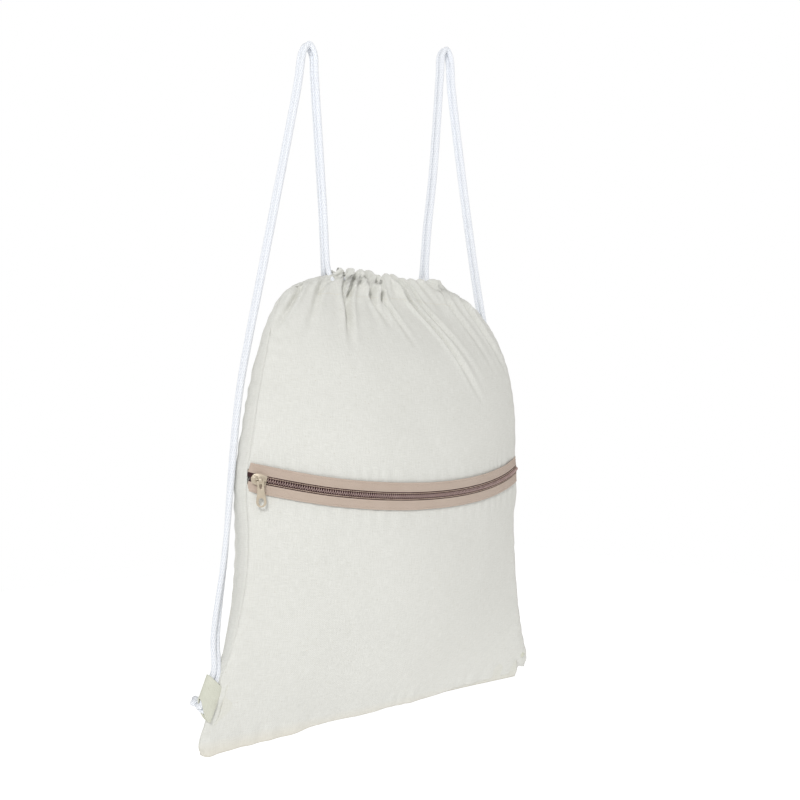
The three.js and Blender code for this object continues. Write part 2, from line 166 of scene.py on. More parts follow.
def grid_faces(rows, columns, flip=False, wrap=False):
    across = columns if wrap else columns - 1
    i, j = np.meshgrid(np.arange(rows - 1), np.arange(across), indexing="ij")
    k = (j + 1) % columns
    a, b = i * columns + j, i * columns + k
    c, d = (i + 1) * columns + k, (i + 1) * columns + j
    quads = np.stack([a, d, c, b] if flip else [a, b, c, d], axis=-1)
    return quads.reshape(-1, 4).tolist()


def carry_frame(line):
    """Two directions square to the line at every point, carried along without twisting."""
    tangent = unit(np.gradient(line, axis=0))
    side = np.zeros_like(line)
    seed = np.array([0.0, 1.0, 0.0])
    if abs(tangent[0] @ seed) > 0.9:
        seed = np.array([1.0, 0.0, 0.0])
    side[0] = unit(seed - tangent[0] * (seed @ tangent[0]))
    for i in range(1, len(line)):
        s = side[i - 1] - tangent[i] * (side[i - 1] @ tangent[i])
        side[i] = s / max(np.linalg.norm(s), 1e-12)
    return side, np.cross(tangent, side)


def tube(name, line, radius_of, sides, along=None):
    """A closed tube round a line; radius_of(angle, distance) lets the surface carry relief."""
    side, other = carry_frame(line)
    if along is None:
        along = distance_along(line)
    angle = np.linspace(0, 2 * math.pi, sides, endpoint=False)
    radius = radius_of(angle[None, :], along[:, None])
    ring = (
        np.cos(angle)[None, :, None] * side[:, None, :]
        + np.sin(angle)[None, :, None] * other[:, None, :]
    )
    verts = line[:, None, :] + ring * radius[..., None]
    rows = len(line)
    flat = verts.reshape(-1, 3)
    faces = grid_faces(rows, sides, wrap=True)
    end = len(flat)
    flat = np.concatenate([flat, line[:1], line[-1:]])
    last = (rows - 1) * sides
    faces += [[end, (k + 1) % sides, k] for k in range(sides)]
    faces += [[end + 1, last + k, last + (k + 1) % sides] for k in range(sides)]
    obj = new_object(name, flat, faces)
    uv = np.stack(np.broadcast_arrays(angle[None, :] / (2 * math.pi), along[:, None] * MM), -1)
    ends = [[0, 0], [0, along[-1] * MM]]
    write_uv(obj, np.concatenate([uv.reshape(-1, 2), ends]))
    return obj


# %% [markdown]
# ## The two cords
#
# Each cord is one length of soft 5 mm braid. Both of its ends are knotted at a bottom corner;
# from there two strands run up the side and over a peg, down to the mouth, and through the
# front and back hems to turn round the far side. A curve with a bevel would give a smooth
# rubber hose. Here the braid itself is in the mesh: two families of strands wind left and
# right, and whichever is on top lifts the surface a little.

# %% Route of a cord
CORD_RADIUS = 2.5
CHANNEL_MID = 6.6
LEFT_CORD_Z = -234.0
RIGHT_CORD_Z = -227.8
LEFT_PEG = (84, -17)
RIGHT_PEG = (82, 17)
# Where a strand turns up out of the mouth and how it leans: x at six heights
LEFT_RISE = (51, 57.5, 62.5, 64.5, 67.5, 72)
RIGHT_RISE = (48.5, 51.5, 53.6, 54.2, 58, 66)
# How much further out the left cord's fall is than the right cord's, going down
LEFT_FALL = (2.5, 4.8, 3.0, 0.5, -0.6, 1.5, 5.5)
TAB_WIDTH = 16.5
TAB_LENGTH = 22
TAB_SKEW = 0.5
TAB_TOP = np.array([173.0, -6.0, -576.0])
TAB_SLANT = math.atan2(0.385, 0.923)
RIGHT_TAB_TURN = math.radians(45)
KNOT_RADIUS = 4.6


def tab_frame(side):
    turn = RIGHT_TAB_TURN if side > 0 else 0
    d = Vector((side * math.sin(TAB_SLANT), 0, -math.cos(TAB_SLANT)))
    a = Vector((side * math.cos(TAB_SLANT), 0, math.sin(TAB_SLANT)))
    a.rotate(Matrix.Rotation(-turn, 3, d))
    b = d.cross(a) * -side
    origin = TAB_TOP * np.array([side, 1, 1])
    return np.array(a), np.array(b), np.array(d), origin


def in_tab(side, a, b, d):
    """A point by its place in the tab: outwards, through the thickness, down the tunnel."""
    out, back, down, origin = tab_frame(side)
    a, b, d = np.broadcast_arrays(*(np.asarray(x, float)[..., None] for x in (a, b, d)))
    return origin + out * a + back * b + down * (d + TAB_SKEW * (TAB_WIDTH - a))


def knot_centre(side):
    return in_tab(side, 13.6, 8.6, 23.5)


def strand(side, layer, z, peg):
    px, pz = peg
    outer = 1 if layer < 0 else 0
    rise = LEFT_RISE if side < 0 else RIGHT_RISE
    fall = LEFT_FALL if side < 0 else (0,) * 7
    points = [
        (40, layer * CHANNEL_MID, z),
        (rise[0], layer * CHANNEL_MID, z),
        (rise[1], layer * 6.2, z + 1.4),
        (rise[2], layer * 5.2, z + 7.2),
        (rise[3], layer * 3.6, z + 16),
        (rise[4], layer * 3.0, -170),
        (rise[5], layer * 2.9, -110),
        (px - 6.8, layer * 2.8, pz - 26),
        (px - 5.4, layer * 2.8, pz - 7),
        (px, layer * 2.8, pz),
        (px + 5.4, layer * 2.8, pz - 7),
        (px + 9 + fall[0], layer * 2.8, pz - 40),
        (125 + fall[1], layer * 2.8, -215),
        (149 + 1.2 * outer + fall[2], layer * 2.8, -320),
        (156.5 + 1.4 * outer + fall[3], layer * 2.8, -354),
        (162.5 + 1.8 * outer + fall[4], layer * 2.8, -405),
        (166 + 3.4 * outer + fall[5], layer * 2.5 - 0.6, -470),
        (171.5 + 5.2 * outer + fall[6], layer * 1.4 - 2.6, -540),
    ]
    points = [np.array([side * x, y, h]) for x, y, h in points]
    across = 12.4 if outer else 6.9
    points += [in_tab(side, across, 0, d) for d in (-6, 4, 19)]
    if outer:
        points.append(in_tab(side, 12.2, 0.4, 24))
    else:
        points += [in_tab(side, 6.9, 0.8, 22.8), in_tab(side, 7.4, 2.8, 25)]
    centre = knot_centre(side)
    last = in_tab(side, 12.0, 2.1, 27) if outer else in_tab(side, 8.0, 4.9, 26)
    points.append(centre + unit(last - centre) * KNOT_RADIUS)
    return points


def cord_route(side, z, peg):
    far = [
        (0, -CHANNEL_MID), (40, -CHANNEL_MID), (50, -CHANNEL_MID), (54.8, -5.2), (57.2, 0),
        (54.8, 5.2), (50, CHANNEL_MID), (40, CHANNEL_MID), (0, CHANNEL_MID),
    ]
    turn = [np.array([-side * x, y, z]) for x, y in far]
    there = strand(side, -1, z, peg)[::-1]
    points = there + turn + strand(side, 1, z, peg)
    return spline(points, np.linspace(0, 1, 40 * (len(points) - 1) + 1))


# %% Braid relief and the cords
BRAID_PAIRS = 8
BRAID_LAY = 5.2  # distance along the cord for one strand crossing pattern
BRAID_HEIGHT = 0.1


def braid_radius(radius):
    def relief(angle, along):
        right = np.cos(BRAID_PAIRS * angle + 2 * math.pi * along / BRAID_LAY)
        left = np.cos(BRAID_PAIRS * angle - 2 * math.pi * along / BRAID_LAY)
        return radius - BRAID_HEIGHT + BRAID_HEIGHT * np.maximum(right, left)

    return relief


def braided(name, line, radius=CORD_RADIUS, step=0.75, sides=32):
    even, along = even_steps(line, step)
    return tube(name, even, braid_radius(radius), sides, along)


cords = {}
for side, label, z, peg in ((-1, "left", LEFT_CORD_Z, LEFT_PEG), (1, "right", RIGHT_CORD_Z, RIGHT_PEG)):
    route = cord_route(side, z, peg)
    even, along = even_steps(route, 4.0)
    cords[label] = {
        "piece": braided(f"{label}_braided_cord", route),
        "path": (even * MM).tolist(),
        "length": along[-1] * MM,
        "exit": (route[0] * MM).tolist(),
    }
    print(label, "cord", round(cords[label]["length"], 3), "m")

# %% [markdown]
# ## Knots
#
# The two ends of a cord are tied in one overhand knot behind its tab. A trefoil curve is an
# overhand knot pulled into a ring, so the same braided tube on a small trefoil, with a short
# tail left over, gives the lump that is seen, at the cost of a few thousand faces.

# %% Tie the knots
def knot_line(side):
    t = np.linspace(0, 2 * math.pi, 161)[:-8]
    x = np.sin(t) + 1.75 * np.sin(2 * t)
    y = np.cos(t) - 1.75 * np.cos(2 * t)
    z = -1.35 * np.sin(3 * t)
    out, back, down, _ = tab_frame(side)
    shape = 0.85 * (x[:, None] * out + y[:, None] * down + z[:, None] * back)
    return knot_centre(side) + shape


knots = {}
for side, label in ((-1, "left"), (1, "right")):
    line = knot_line(side)
    lead = unit(line[-1:] - line[-4:-3])
    tail = line[-1:] + lead * np.linspace(2, 5, 4)[:, None]
    knots[label] = braided(f"{label}_overhand_knot", np.concatenate([line, tail]), 2.6, 0.7, 20)
    print(label, "knot", len(knots[label].data.vertices), "points")

# %% [markdown]
# ## The zip's own line
#
# The zip is as long as the bag is wide, so on a stuffed bag it bows out with the cloth. It is
# drawn as an arc in a plane that leans forward. Everything on the zip (tapes, coil, slider,
# stitches) is placed by three numbers: the angle along the arc, the distance up the tape's
# width, and the distance out of its face.

# %% Places on the zip
ZIP_RADIUS = 285
ZIP_HALF_CHORD = 160
ZIP_LEAN = math.radians(24)
ZIP_HALF_ANGLE = math.asin(ZIP_HALF_CHORD / ZIP_RADIUS)
ZIP_OUT = np.array([0, -math.cos(ZIP_LEAN), -math.sin(ZIP_LEAN)])
ZIP_AXIS = np.array([0, -math.sin(ZIP_LEAN), math.cos(ZIP_LEAN)])
ZIP_CENTRE = np.array([0, -25, -405.5]) - ZIP_OUT * ZIP_RADIUS * math.cos(ZIP_HALF_ANGLE)
X_AXIS = np.array([1.0, 0, 0])


def zip_frame(angle):
    a = np.asarray(angle, float)[..., None]
    radial = ZIP_OUT * np.cos(a) + X_AXIS * np.sin(a)
    c, s = math.cos(ZIP_LEAN), math.sin(ZIP_LEAN)
    up = ZIP_AXIS * c - radial * s
    out = radial * c + ZIP_AXIS * s
    along = -ZIP_OUT * np.sin(a) + X_AXIS * np.cos(a)
    return radial, along, up, out


def on_zip(angle, up, out):
    angle, up, out = np.broadcast_arrays(angle, up, out)
    radial, _, u, o = zip_frame(angle)
    return ZIP_CENTRE + radial * ZIP_RADIUS + u * up[..., None] + o * out[..., None]


def turn_into_seam(points):
    """The last few millimetres of the zip turn back into the side seam."""
    out = np.array(points, float)
    past = np.maximum(np.abs(out[..., 0]) - 153.5, 0)
    out[..., 0] = np.sign(out[..., 0]) * (np.abs(out[..., 0]) - 0.42 * past)
    out[..., 1] += 0.1 * past**2
    return ease_left(out)


LEFT_SHIFT = np.array((-2.9, 1.6, 1.4))


def ease_left(points):
    """Move what lies beside the left seam a little round towards the back."""
    points = np.asarray(points, float)
    share = np.clip((-points[..., 0] - 95) / 50, 0, 1)
    share = share * share * (3 - 2 * share)
    share = share * np.interp(points[..., 2], (-606, -580, -440, -405, -365), (0, 1, 1, 0.7, 0))
    return points + share[..., None] * LEFT_SHIFT


print("zip length", round(2 * ZIP_RADIUS * ZIP_HALF_ANGLE, 1), "mm")

# %% [markdown]
# ## The shape of the stuffed bag
#
# The CAD source gives cross-sections: the height of the side seam, the half width, how far
# the cloth swells to the front and to the back, and how far its middle dips. A panel follows
# them from seam to seam. Two things are added here that a solid model does not need: at the
# sides the cloth turns in to meet the other panel in a seam, and at the mouth it folds over
# into the hem that carries the cords.

# %% Cross-sections
SECTIONS_ABOVE = [
    (-350, 154, -25, 44, 69, 14), (-300, 142, -22, 36, 56, 8), (-266, 129, -15, 23, 35, 5),
    (-244, 112, -8, 13, 22, 4), (-231, 88, -3.5, 13, 14, 5), (-222, 60, -8.5, 4, 4, 3),
]
SECTION_AT_ZIP = (-405.5, 159.4, -23.7, 45, 73, 20)
SECTIONS_BELOW = [
    (-458, 157, -24, 44, 73, 14), (-509, 160, -23, 37, 66, 8), (-561, 168, -18, 25, 47, 4),
    (-600, 178, -9, 11, 22, 1), (-624, 187, -3, 2.5, 4, 0), (-636, 188.5, -0.9, 0, 0, 0),
]
SEAM_GAP = 3.0
SEAM_TUCK = 1.6
MOUTH_TOP = -218.5
MOUTH_DIP = 5.0
# The back is gathered above this height, and the side seams run between the next two
GATHERED_ABOVE = -243
SEAM_END_Z = -223
SEAM_FOOT_Z = -637
# Inside the hem, within this half width, the gathers are kept shallow
HEM_HALF = 58
HEM_RELIEF = 1.2
CORD_BAND_Z = -231


def share_across(p):
    return np.sin(p * ZIP_HALF_ANGLE) / math.sin(ZIP_HALF_ANGLE)


def swell_across(p):
    edge = math.cos(ZIP_HALF_ANGLE)
    return (np.cos(p * ZIP_HALF_ANGLE) - edge) / (1 - edge)


def front_row(p, section):
    z, half, side, front, _, dip = section
    g = swell_across(p)
    return np.stack([half * share_across(p), side - front * g, z - dip * g], -1)


def back_row(p, section):
    z, half, side, _, back, dip = section
    open_side = z > GATHERED_ABOVE
    a = p * math.pi / 2
    across = np.sign(np.sin(a)) * np.abs(np.sin(a)) ** 0.8
    swell = np.maximum(np.cos(a), 0) ** 0.8
    start = -side if open_side else side + SEAM_GAP
    x = half * (0.5 * across + 0.5 * p if open_side else across)
    return np.stack([x, start + back * swell, z - 0.5 * dip * swell], -1)


def hem_rows(p, sign):
    """From the top of the mouth over the cords and down inside the hem."""
    rows = []
    for half, y, z in ((57, 10.6, 0), (56, 7.0, 1.2), (55, 3.8, -0.6), (54, 2.7, -7), (52, 2.4, -20)):
        x = half * share_across(p)
        dipped = MOUTH_TOP + z - MOUTH_DIP * swell_across(p)
        rows.append(np.stack([x, np.full_like(p, sign * y), dipped], -1))
    return rows


# %% A panel as a grid
def row_places(controls, spacing):
    """Spline positions so that rows are about the same distance apart on the cloth."""
    middle = np.stack([row[len(row) // 2] for row in controls])
    places = [0.0]
    spans = len(controls) - 1
    for k in range(spans):
        n = max(2, int(round(np.linalg.norm(middle[k + 1] - middle[k]) / spacing)))
        places += list((k + np.arange(1, n + 1) / n) / spans)
    return np.array(places)


def grid_normals(grid):
    down = np.gradient(grid, axis=0)
    across = np.gradient(grid, axis=1)
    return unit(np.cross(across, down))


# Towards the mouth the seam comes forward to the middle: z, y
SEAM_TOP_Z = (-300, -266, -255, -244, -236, -220)
SEAM_TOP_Y = (-20.5, -13.0, -7.0, -2.0, 0, 0)


def seam_line(height):
    """The side seam at a height, for the +X side: x and y half way between the panels."""
    sections = SECTIONS_BELOW[::-1] + [SECTION_AT_ZIP] + SECTIONS_ABOVE
    edge = spline(
        [np.array((s[1], s[2] + SEAM_GAP / 2, s[0]), float) for s in sections], np.linspace(0, 1, 400)
    )
    x = np.interp(height, edge[:, 2], edge[:, 0])
    y = np.interp(height, edge[:, 2], edge[:, 1])
    y = np.where(height > SEAM_TOP_Z[0], np.interp(height, SEAM_TOP_Z, SEAM_TOP_Y), y)
    return x - SEAM_TUCK, y


SEAM_REACH = 13.0


def close_sides(grid, mask):
    """Draws the side edges of a panel in to the seam line that both panels share."""
    out = grid.copy()
    for edge, sign in ((0, -1), (-1, 1)):
        line = grid[:, edge]
        x, y = seam_line(line[:, 2])
        pull_x = (sign * x - line[:, 0]) * mask
        pull_y = (y - line[:, 1]) * mask
        away = np.linalg.norm(grid - line[:, None], axis=2) / SEAM_REACH
        near = np.clip(1 - away, 0, 1) ** 2.2
        out[..., 0] += pull_x[:, None] * near
        out[..., 1] += pull_y[:, None] * near
    return out


def cloth_distance(grid):
    """UV in metres: distance across and down the cloth, so a weave keeps its size."""
    across = np.linalg.norm(np.diff(grid, axis=1), axis=2)
    u = np.concatenate([np.zeros((len(grid), 1)), np.cumsum(across, axis=1)], axis=1)
    u -= u[:, u.shape[1] // 2][:, None]
    down = np.linalg.norm(np.diff(grid, axis=0), axis=2).mean(axis=1)
    v = np.concatenate([[0], np.cumsum(down)])[:, None] + np.zeros_like(u)
    return np.stack([u, v], -1) * MM


DETAIL = 1.0
COLUMNS = int(200 / DETAIL)
ROW_SPACING = 1.8 * DETAIL
ACROSS = np.linspace(-1, 1, COLUMNS)
print("columns", COLUMNS, "row spacing", ROW_SPACING)

# %% [markdown]
# ## Wrinkles
#
# Four causes of wrinkles are kept apart, because each has its own place and size. Gathers run
# down from the drawn mouth and fade. Seams pucker at the pitch of their stitches. Filling
# leaves broad, shallow lumps. And a few single folds are listed one by one, as one long crease
# gives a gathered bag its look. Random numbers come from one seeded generator.

# %% Smooth seeded noise on a surface
def soft_noise(points, size, seed):
    """Value noise: random numbers on a lattice of that size in mm, blended smoothly."""
    at = points / size
    cell = np.floor(at).astype(np.int64)
    t = at - cell
    t = t * t * (3 - 2 * t)
    total = np.zeros(points.shape[:-1])
    for corner in range(8):
        bit = np.array([corner & 1, corner >> 1 & 1, corner >> 2 & 1])
        c = cell + bit
        key = (c[..., 0] * 73856093) ^ (c[..., 1] * 19349663) ^ (c[..., 2] * 83492791)
        key = (key ^ (seed * 2654435761)) & 0x7FFFFFFF
        key = (key * 1103515245 + 12345) & 0x7FFFFFFF
        key = (key >> 8) ^ ((key * 69069) & 0x7FFFFFFF)
        value = (key % 10007) / 5003.0 - 1
        weight = np.prod(np.where(bit == 1, t, 1 - t), axis=-1)
        total += value * weight
    return total


# %% Gathers that run down from the mouth
def fold_shape(distance, width):
    """A narrow valley with soft shoulders on both sides."""
    d = distance / width
    return -np.exp(-(d**2)) + 0.45 * (np.exp(-((d - 1.7) ** 2)) + np.exp(-((d + 1.7) ** 2)))


HAND_FOLDS = {
    # x at the mouth, x at its foot, length, depth, width: all in mm
    "front": [
        (-37, -66, 62, 9.5, 2.6), (-28, -20, 50, 10.0, 2.6), (-20, 0, 66, 6.5, 2.3),
        (0, 73, 112, 10.0, 2.7), (-47, -67, 74, 7.0, 2.6), (-76, -150, 82, 7.0, 2.8),
        (74, 132, 86, 6.0, 3.0), (96, 166, 82, 4.6, 3.0), (14, 79, 96, 4.4, 3.0),
        (56, 105, 86, 4.0, 3.2), (-10, -18, 48, 5.0, 2.4), (-62, -112, 74, 4.0, 3.2),
    ],
    "back": [
        (-44, -90, 80, 4.4, 4.4), (-30, -48, 60, 4.6, 3.4), (-14, -24, 110, 4.6, 4.4),
        (2, 6, 44, 4.2, 2.8), (18, 30, 120, 5.0, 4.6), (34, 58, 60, 4.6, 3.4),
        (46, 100, 86, 4.0, 4.4),
    ],
}


def gathers(grid, side_name, seed):
    rng = np.random.default_rng(seed)
    x = grid[..., 0]
    below = np.maximum(MOUTH_TOP - grid[..., 2], 0)
    half = np.abs(grid[:, -1, 0])[:, None]
    spread = np.maximum(half, 40) / 57.0
    total = np.zeros_like(x)
    start = -50.0
    while start < 51:
        depth = rng.uniform(1.6, 3.6) * (1.0 if start < -8 else 0.6)
        length = rng.uniform(12, 34)
        width = rng.uniform(1.8, 3.0)
        drift = rng.uniform(-0.05, 0.05)
        centre = start * spread ** rng.uniform(0.75, 1.0) + drift * below
        fade = np.exp(-((below / length) ** 1.5))
        total += depth * fade * fold_shape(x - centre, width * (1 + below / 38))
        start += rng.uniform(7.0, 14.0)
    for x0, x1, length, depth, width in HAND_FOLDS[side_name]:
        t = np.clip(below / length, 0, 1.4)
        centre = x0 + (x1 - x0) * t**0.9
        fade = np.clip(1.15 - t, 0, 1) ** 1.3 * np.clip(0.55 + 2.5 * t, 0, 1)
        total += depth * fade * fold_shape(x - centre, width * (0.7 + 0.7 * t))
    over_cord = np.exp(-(((grid[..., 2] - CORD_BAND_Z) / 9) ** 4))
    total = np.where(total > 0, total * (1 + 0.6 * over_cord), total)
    return np.maximum(total, -1.0 - 14 * (1 - over_cord))


# %% Puckers, lumps and the whole relief of a panel
def pucker(along, off, pitch, height, reach, seed):
    """Small waves along a seam that die away at a distance off it."""
    wander = soft_noise(np.stack([along, 0 * along, 0 * along], -1), 40, seed)
    wave = np.sin(2 * math.pi * along / pitch + 5 * wander)
    return height * wave * (0.6 + 0.4 * wander) * np.exp(-((off / reach) ** 2))


def lumps(grid, seed):
    return (
        1.7 * soft_noise(grid, 95, seed)
        + 0.75 * soft_noise(grid, 42, seed + 1)
        + 0.28 * soft_noise(grid, 17, seed + 2)
    )


def side_distance(grid):
    return np.minimum(np.abs(grid[..., 0] - grid[:, :1, 0]), np.abs(grid[..., 0] - grid[:, -1:, 0]))


# Beside the bottom corners: at this height, how far the cloth goes out in x and back in y
CORNER_HEIGHTS = (-642, -636, -630, -624, -617, -608, -598, -588, -574, -556, -520, -480, -450, -420)
LEFT_CORNER_OUT = (6.0, 7.0, 8.5, 8.5, 8.5, 7.5, 6.5, 7.0, 7.5, 6.0, 3.0, 0, 0, 0)
LEFT_CORNER_BACK = (0, 0, 0, 0.5, 2.0, 4.0, 4.5, 4.0, 3.0, 1.5, 0, 0, 0, 0)
RIGHT_CORNER_OUT = (12.0, 12.5, 13.0, 13.5, 14.0, 14.5, 14.0, 12.5, 10.0, 7.0, 4.5, 4.0, 2.5, 0)
# The right side is fuller above the zip
RIGHT_SIDE_HEIGHTS = (-440, -400, -350, -320, -290, -265, -250, -240, -230, -222, -214)
RIGHT_SIDE_OUT = (0, 2.0, 5.0, 7.5, 9.0, 8.5, 12.0, 14.0, 14.0, 11.0, 8.0)
# How far the bottom seam is above or below a straight line, from left to right
FOOT_X = (-195, -175, -148, -104, -56, 18, 78, 130, 195)
FOOT_SHIFT = (-5, -5, -4, -2, 1, 1, 4, 8, 9)
FOOT_WAVE = 0.7


def shape_corners(grid):
    """Rounds and fills the bottom corners and lets the bottom seam wander."""
    out = grid.copy()
    x, z = grid[..., 0], grid[..., 2]
    heights = CORNER_HEIGHTS
    near_left = np.clip((-x - 105) / 75, 0, 1) ** 1.6
    near_right = np.clip((x - 105) / 75, 0, 1) ** 1.6
    out[..., 0] -= near_left * np.interp(z, heights, LEFT_CORNER_OUT)
    out[..., 0] += near_right * np.interp(z, heights, RIGHT_CORNER_OUT)
    out[..., 1] += near_left * np.interp(z, heights, LEFT_CORNER_BACK)
    widest = np.maximum(x.max(axis=1, keepdims=True), 1)
    full_right = np.clip((x / widest - 0.4) / 0.6, 0, 1) ** 1.4
    out[..., 0] += full_right * np.interp(z, RIGHT_SIDE_HEIGHTS, RIGHT_SIDE_OUT)
    low = np.clip((-580 - z) / 56, 0, 1) ** 1.4
    out[..., 2] += low * FOOT_WAVE * (np.sin(x / 13.0 + 0.6) + 0.3 * np.sin(x / 7.0))
    out[..., 2] += low * np.interp(x, FOOT_X, FOOT_SHIFT)
    for sign, radius, centre, foot in ((1, 24, 198, 632), (-1, 13, 196, 642)):
        dx = np.clip(sign * out[..., 0] - (centre - radius), 0, None) / radius
        dz = np.clip(-out[..., 2] - (foot - radius), 0, None) / radius
        reach = np.maximum(np.hypot(dx, dz), 1e-6)
        shrink = np.where((dx > 0) & (dz > 0), np.maximum(dx, dz) / reach, 1)
        out[..., 0] -= sign * dx * (1 - shrink) * radius
        out[..., 2] += dz * (1 - shrink) * radius
    return out


# %% Make the panels
def front_upper():
    angle = ACROSS * ZIP_HALF_ANGLE
    rows = [on_zip(angle, 6.5, -1.3), on_zip(angle, 13, -1.2), on_zip(angle, 24, -1.2)]
    rows += [front_row(ACROSS, s) for s in SECTIONS_ABOVE] + hem_rows(ACROSS, -1)
    grid = spline(np.stack(rows), row_places(rows, ROW_SPACING))
    side = np.clip((SEAM_END_Z - grid[:, 0, 2]) / 5, 0, 1)
    grid = close_sides(grid, side)
    normal = grid_normals(grid)
    inside = (grid[..., 2] < MOUTH_TOP) & (grid[..., 1] > -4.5) & (np.abs(grid[..., 0]) < HEM_HALF)
    relief = gathers(grid, "front", 7)
    relief = np.where(inside, np.clip(relief, -HEM_RELIEF, HEM_RELIEF), relief)
    free = np.clip(side_distance(grid) / 12, 0, 1)
    from_zip = np.linalg.norm(grid - grid[:1], axis=2)
    relief = relief * np.clip(0.25 + free, 0, 1)
    relief += lumps(grid, 11) * free * np.clip((from_zip - 5) / 30, 0, 1)
    relief += pucker(grid[..., 0], from_zip - 8, 13, 0.45, 11, 21)
    relief += pucker(grid[..., 2], side_distance(grid) - 5, 17, 0.45, 8, 22)
    return grid, normal, relief


def front_pocket():
    angle = ACROSS * ZIP_HALF_ANGLE
    rows = [on_zip(angle, -6.5, -1.3), on_zip(angle, -13, -1.2), on_zip(angle, -24, -1.3)]
    rows += [front_row(ACROSS, s) for s in SECTIONS_BELOW]
    rows = rows[::-1]
    grid = spline(np.stack(rows), row_places(rows, ROW_SPACING))
    grid = close_sides(grid, np.clip((grid[:, 0, 2] - SEAM_FOOT_Z) / 6, 0, 1))
    normal = grid_normals(grid)
    free = np.clip(side_distance(grid) / 14, 0, 1)
    from_zip = np.linalg.norm(grid - grid[-1:], axis=2)
    from_foot = np.abs(grid[..., 2] - grid[:1, :, 2])
    free *= np.clip((from_zip - 4) / 26, 0, 1) * np.clip(from_foot / 25, 0, 1)
    relief = lumps(grid, 31) * free
    relief += pucker(grid[..., 0], from_zip - 8, 14, 0.45, 11, 41)
    relief += pucker(grid[..., 2], side_distance(grid) - 5, 19, 0.5, 9, 42)
    relief += pucker(grid[..., 0], from_foot - 6, 23, 0.6, 13, 43)
    return grid, normal, relief


def back():
    sections = SECTIONS_BELOW[::-1] + [SECTION_AT_ZIP] + SECTIONS_ABOVE
    rows = [back_row(ACROSS, s) for s in sections] + hem_rows(ACROSS, 1)
    grid = spline(np.stack(rows), row_places(rows, ROW_SPACING * 1.25))
    side = np.clip((SEAM_END_Z - grid[:, 0, 2]) / 5, 0, 1)
    side = side * np.clip((grid[:, 0, 2] - SEAM_FOOT_Z) / 6, 0, 1)
    grid = close_sides(grid, side)
    normal = -grid_normals(grid)
    inside = (grid[..., 2] < MOUTH_TOP) & (grid[..., 2] > -245)
    inside &= (grid[..., 1] < 4.5) & (np.abs(grid[..., 0]) < HEM_HALF)
    relief = gathers(grid, "back", 17)
    relief = np.where(inside, np.clip(relief, -HEM_RELIEF, HEM_RELIEF), relief)
    free = np.clip(side_distance(grid) / 14, 0, 1)
    from_foot = np.abs(grid[..., 2] - grid[:1, :, 2])
    relief = relief * np.clip(0.25 + free, 0, 1)
    relief += 1.5 * lumps(grid, 51) * free * np.clip(from_foot / 25, 0, 1)
    relief += pucker(grid[..., 2], side_distance(grid) - 5, 18, 0.5, 9, 61)
    relief += pucker(grid[..., 0], from_foot - 6, 25, 0.6, 13, 62)
    return grid, normal, relief


CLOTH = 0.8


def panel(name, grid, normal, relief, flip):
    shape = grid + normal * relief[..., None]
    shape = ease_left(shape_corners(shape))
    rows, columns = shape.shape[:2]
    obj = new_object(name, shape.reshape(-1, 3), grid_faces(rows, columns, flip))
    write_uv(obj, cloth_distance(grid).reshape(-1, 2))
    return obj, shape


panels = {}
shapes = {}
for key, name, make, flip in (
    ("upper", "front_upper_canvas", front_upper, False),
    ("pocket", "front_pocket_canvas", front_pocket, False),
    ("back", "back_canvas", back, True),
):
    panels[key], shapes[key] = panel(name, *make(), flip)
    print(name, len(panels[key].data.polygons), "faces")

# %% [markdown]
# ## Finishes
#
# Three effects come back in several finishes, so each is a shader node group with its own
# inputs: a plain weave of threads with thick and thin places, a faint unevenness of colour
# from handling and washing, and thread lines for braid and twill. The groups only put out
# masks and heights. The surface shader stays in each material.

# %% Small helpers for node trees
def add_node(tree, kind, links=None, **settings):
    """A node with its settings, and its inputs set to values or joined to other sockets."""
    node = tree.nodes.new(kind)
    for key, value in settings.items():
        setattr(node, key, value)
    for key, value in (links or {}).items():
        socket = node.inputs[key]
        if isinstance(value, bpy.types.NodeSocket):
            tree.links.new(value, socket)
        else:
            socket.default_value = value
    return node


def maths(tree, operation, a, b=0.0, c=0.0):
    node = add_node(tree, "ShaderNodeMath", {0: a, 1: b, 2: c}, operation=operation)
    return node.outputs[0]


def new_group(name, inputs, outputs):
    tree = bpy.data.node_groups.new(name, "ShaderNodeTree")
    for label, kind, value in inputs:
        socket = tree.interface.new_socket(label, in_out="INPUT", socket_type=kind)
        if value is not None:
            socket.default_value = value
    for label, kind in outputs:
        tree.interface.new_socket(label, in_out="OUTPUT", socket_type=kind)
    return tree, tree.nodes.new("NodeGroupInput").outputs, tree.nodes.new("NodeGroupOutput").inputs


def use_group(tree, group, values):
    return add_node(tree, "ShaderNodeGroup", values, node_tree=group).outputs


def noise_node(tree, place, scale, detail, roughness=0.5):
    links = {"Vector": place, "Scale": scale, "Detail": detail, "Roughness": roughness}
    return add_node(tree, "ShaderNodeTexNoise", links)


def mask(tree, value, low, high, most=1.0):
    """0 up to low, rising to most at high."""
    links = {"Value": value, "From Min": low, "From Max": high, "To Min": 0.0, "To Max": most}
    return add_node(tree, "ShaderNodeMapRange", links).outputs[0]


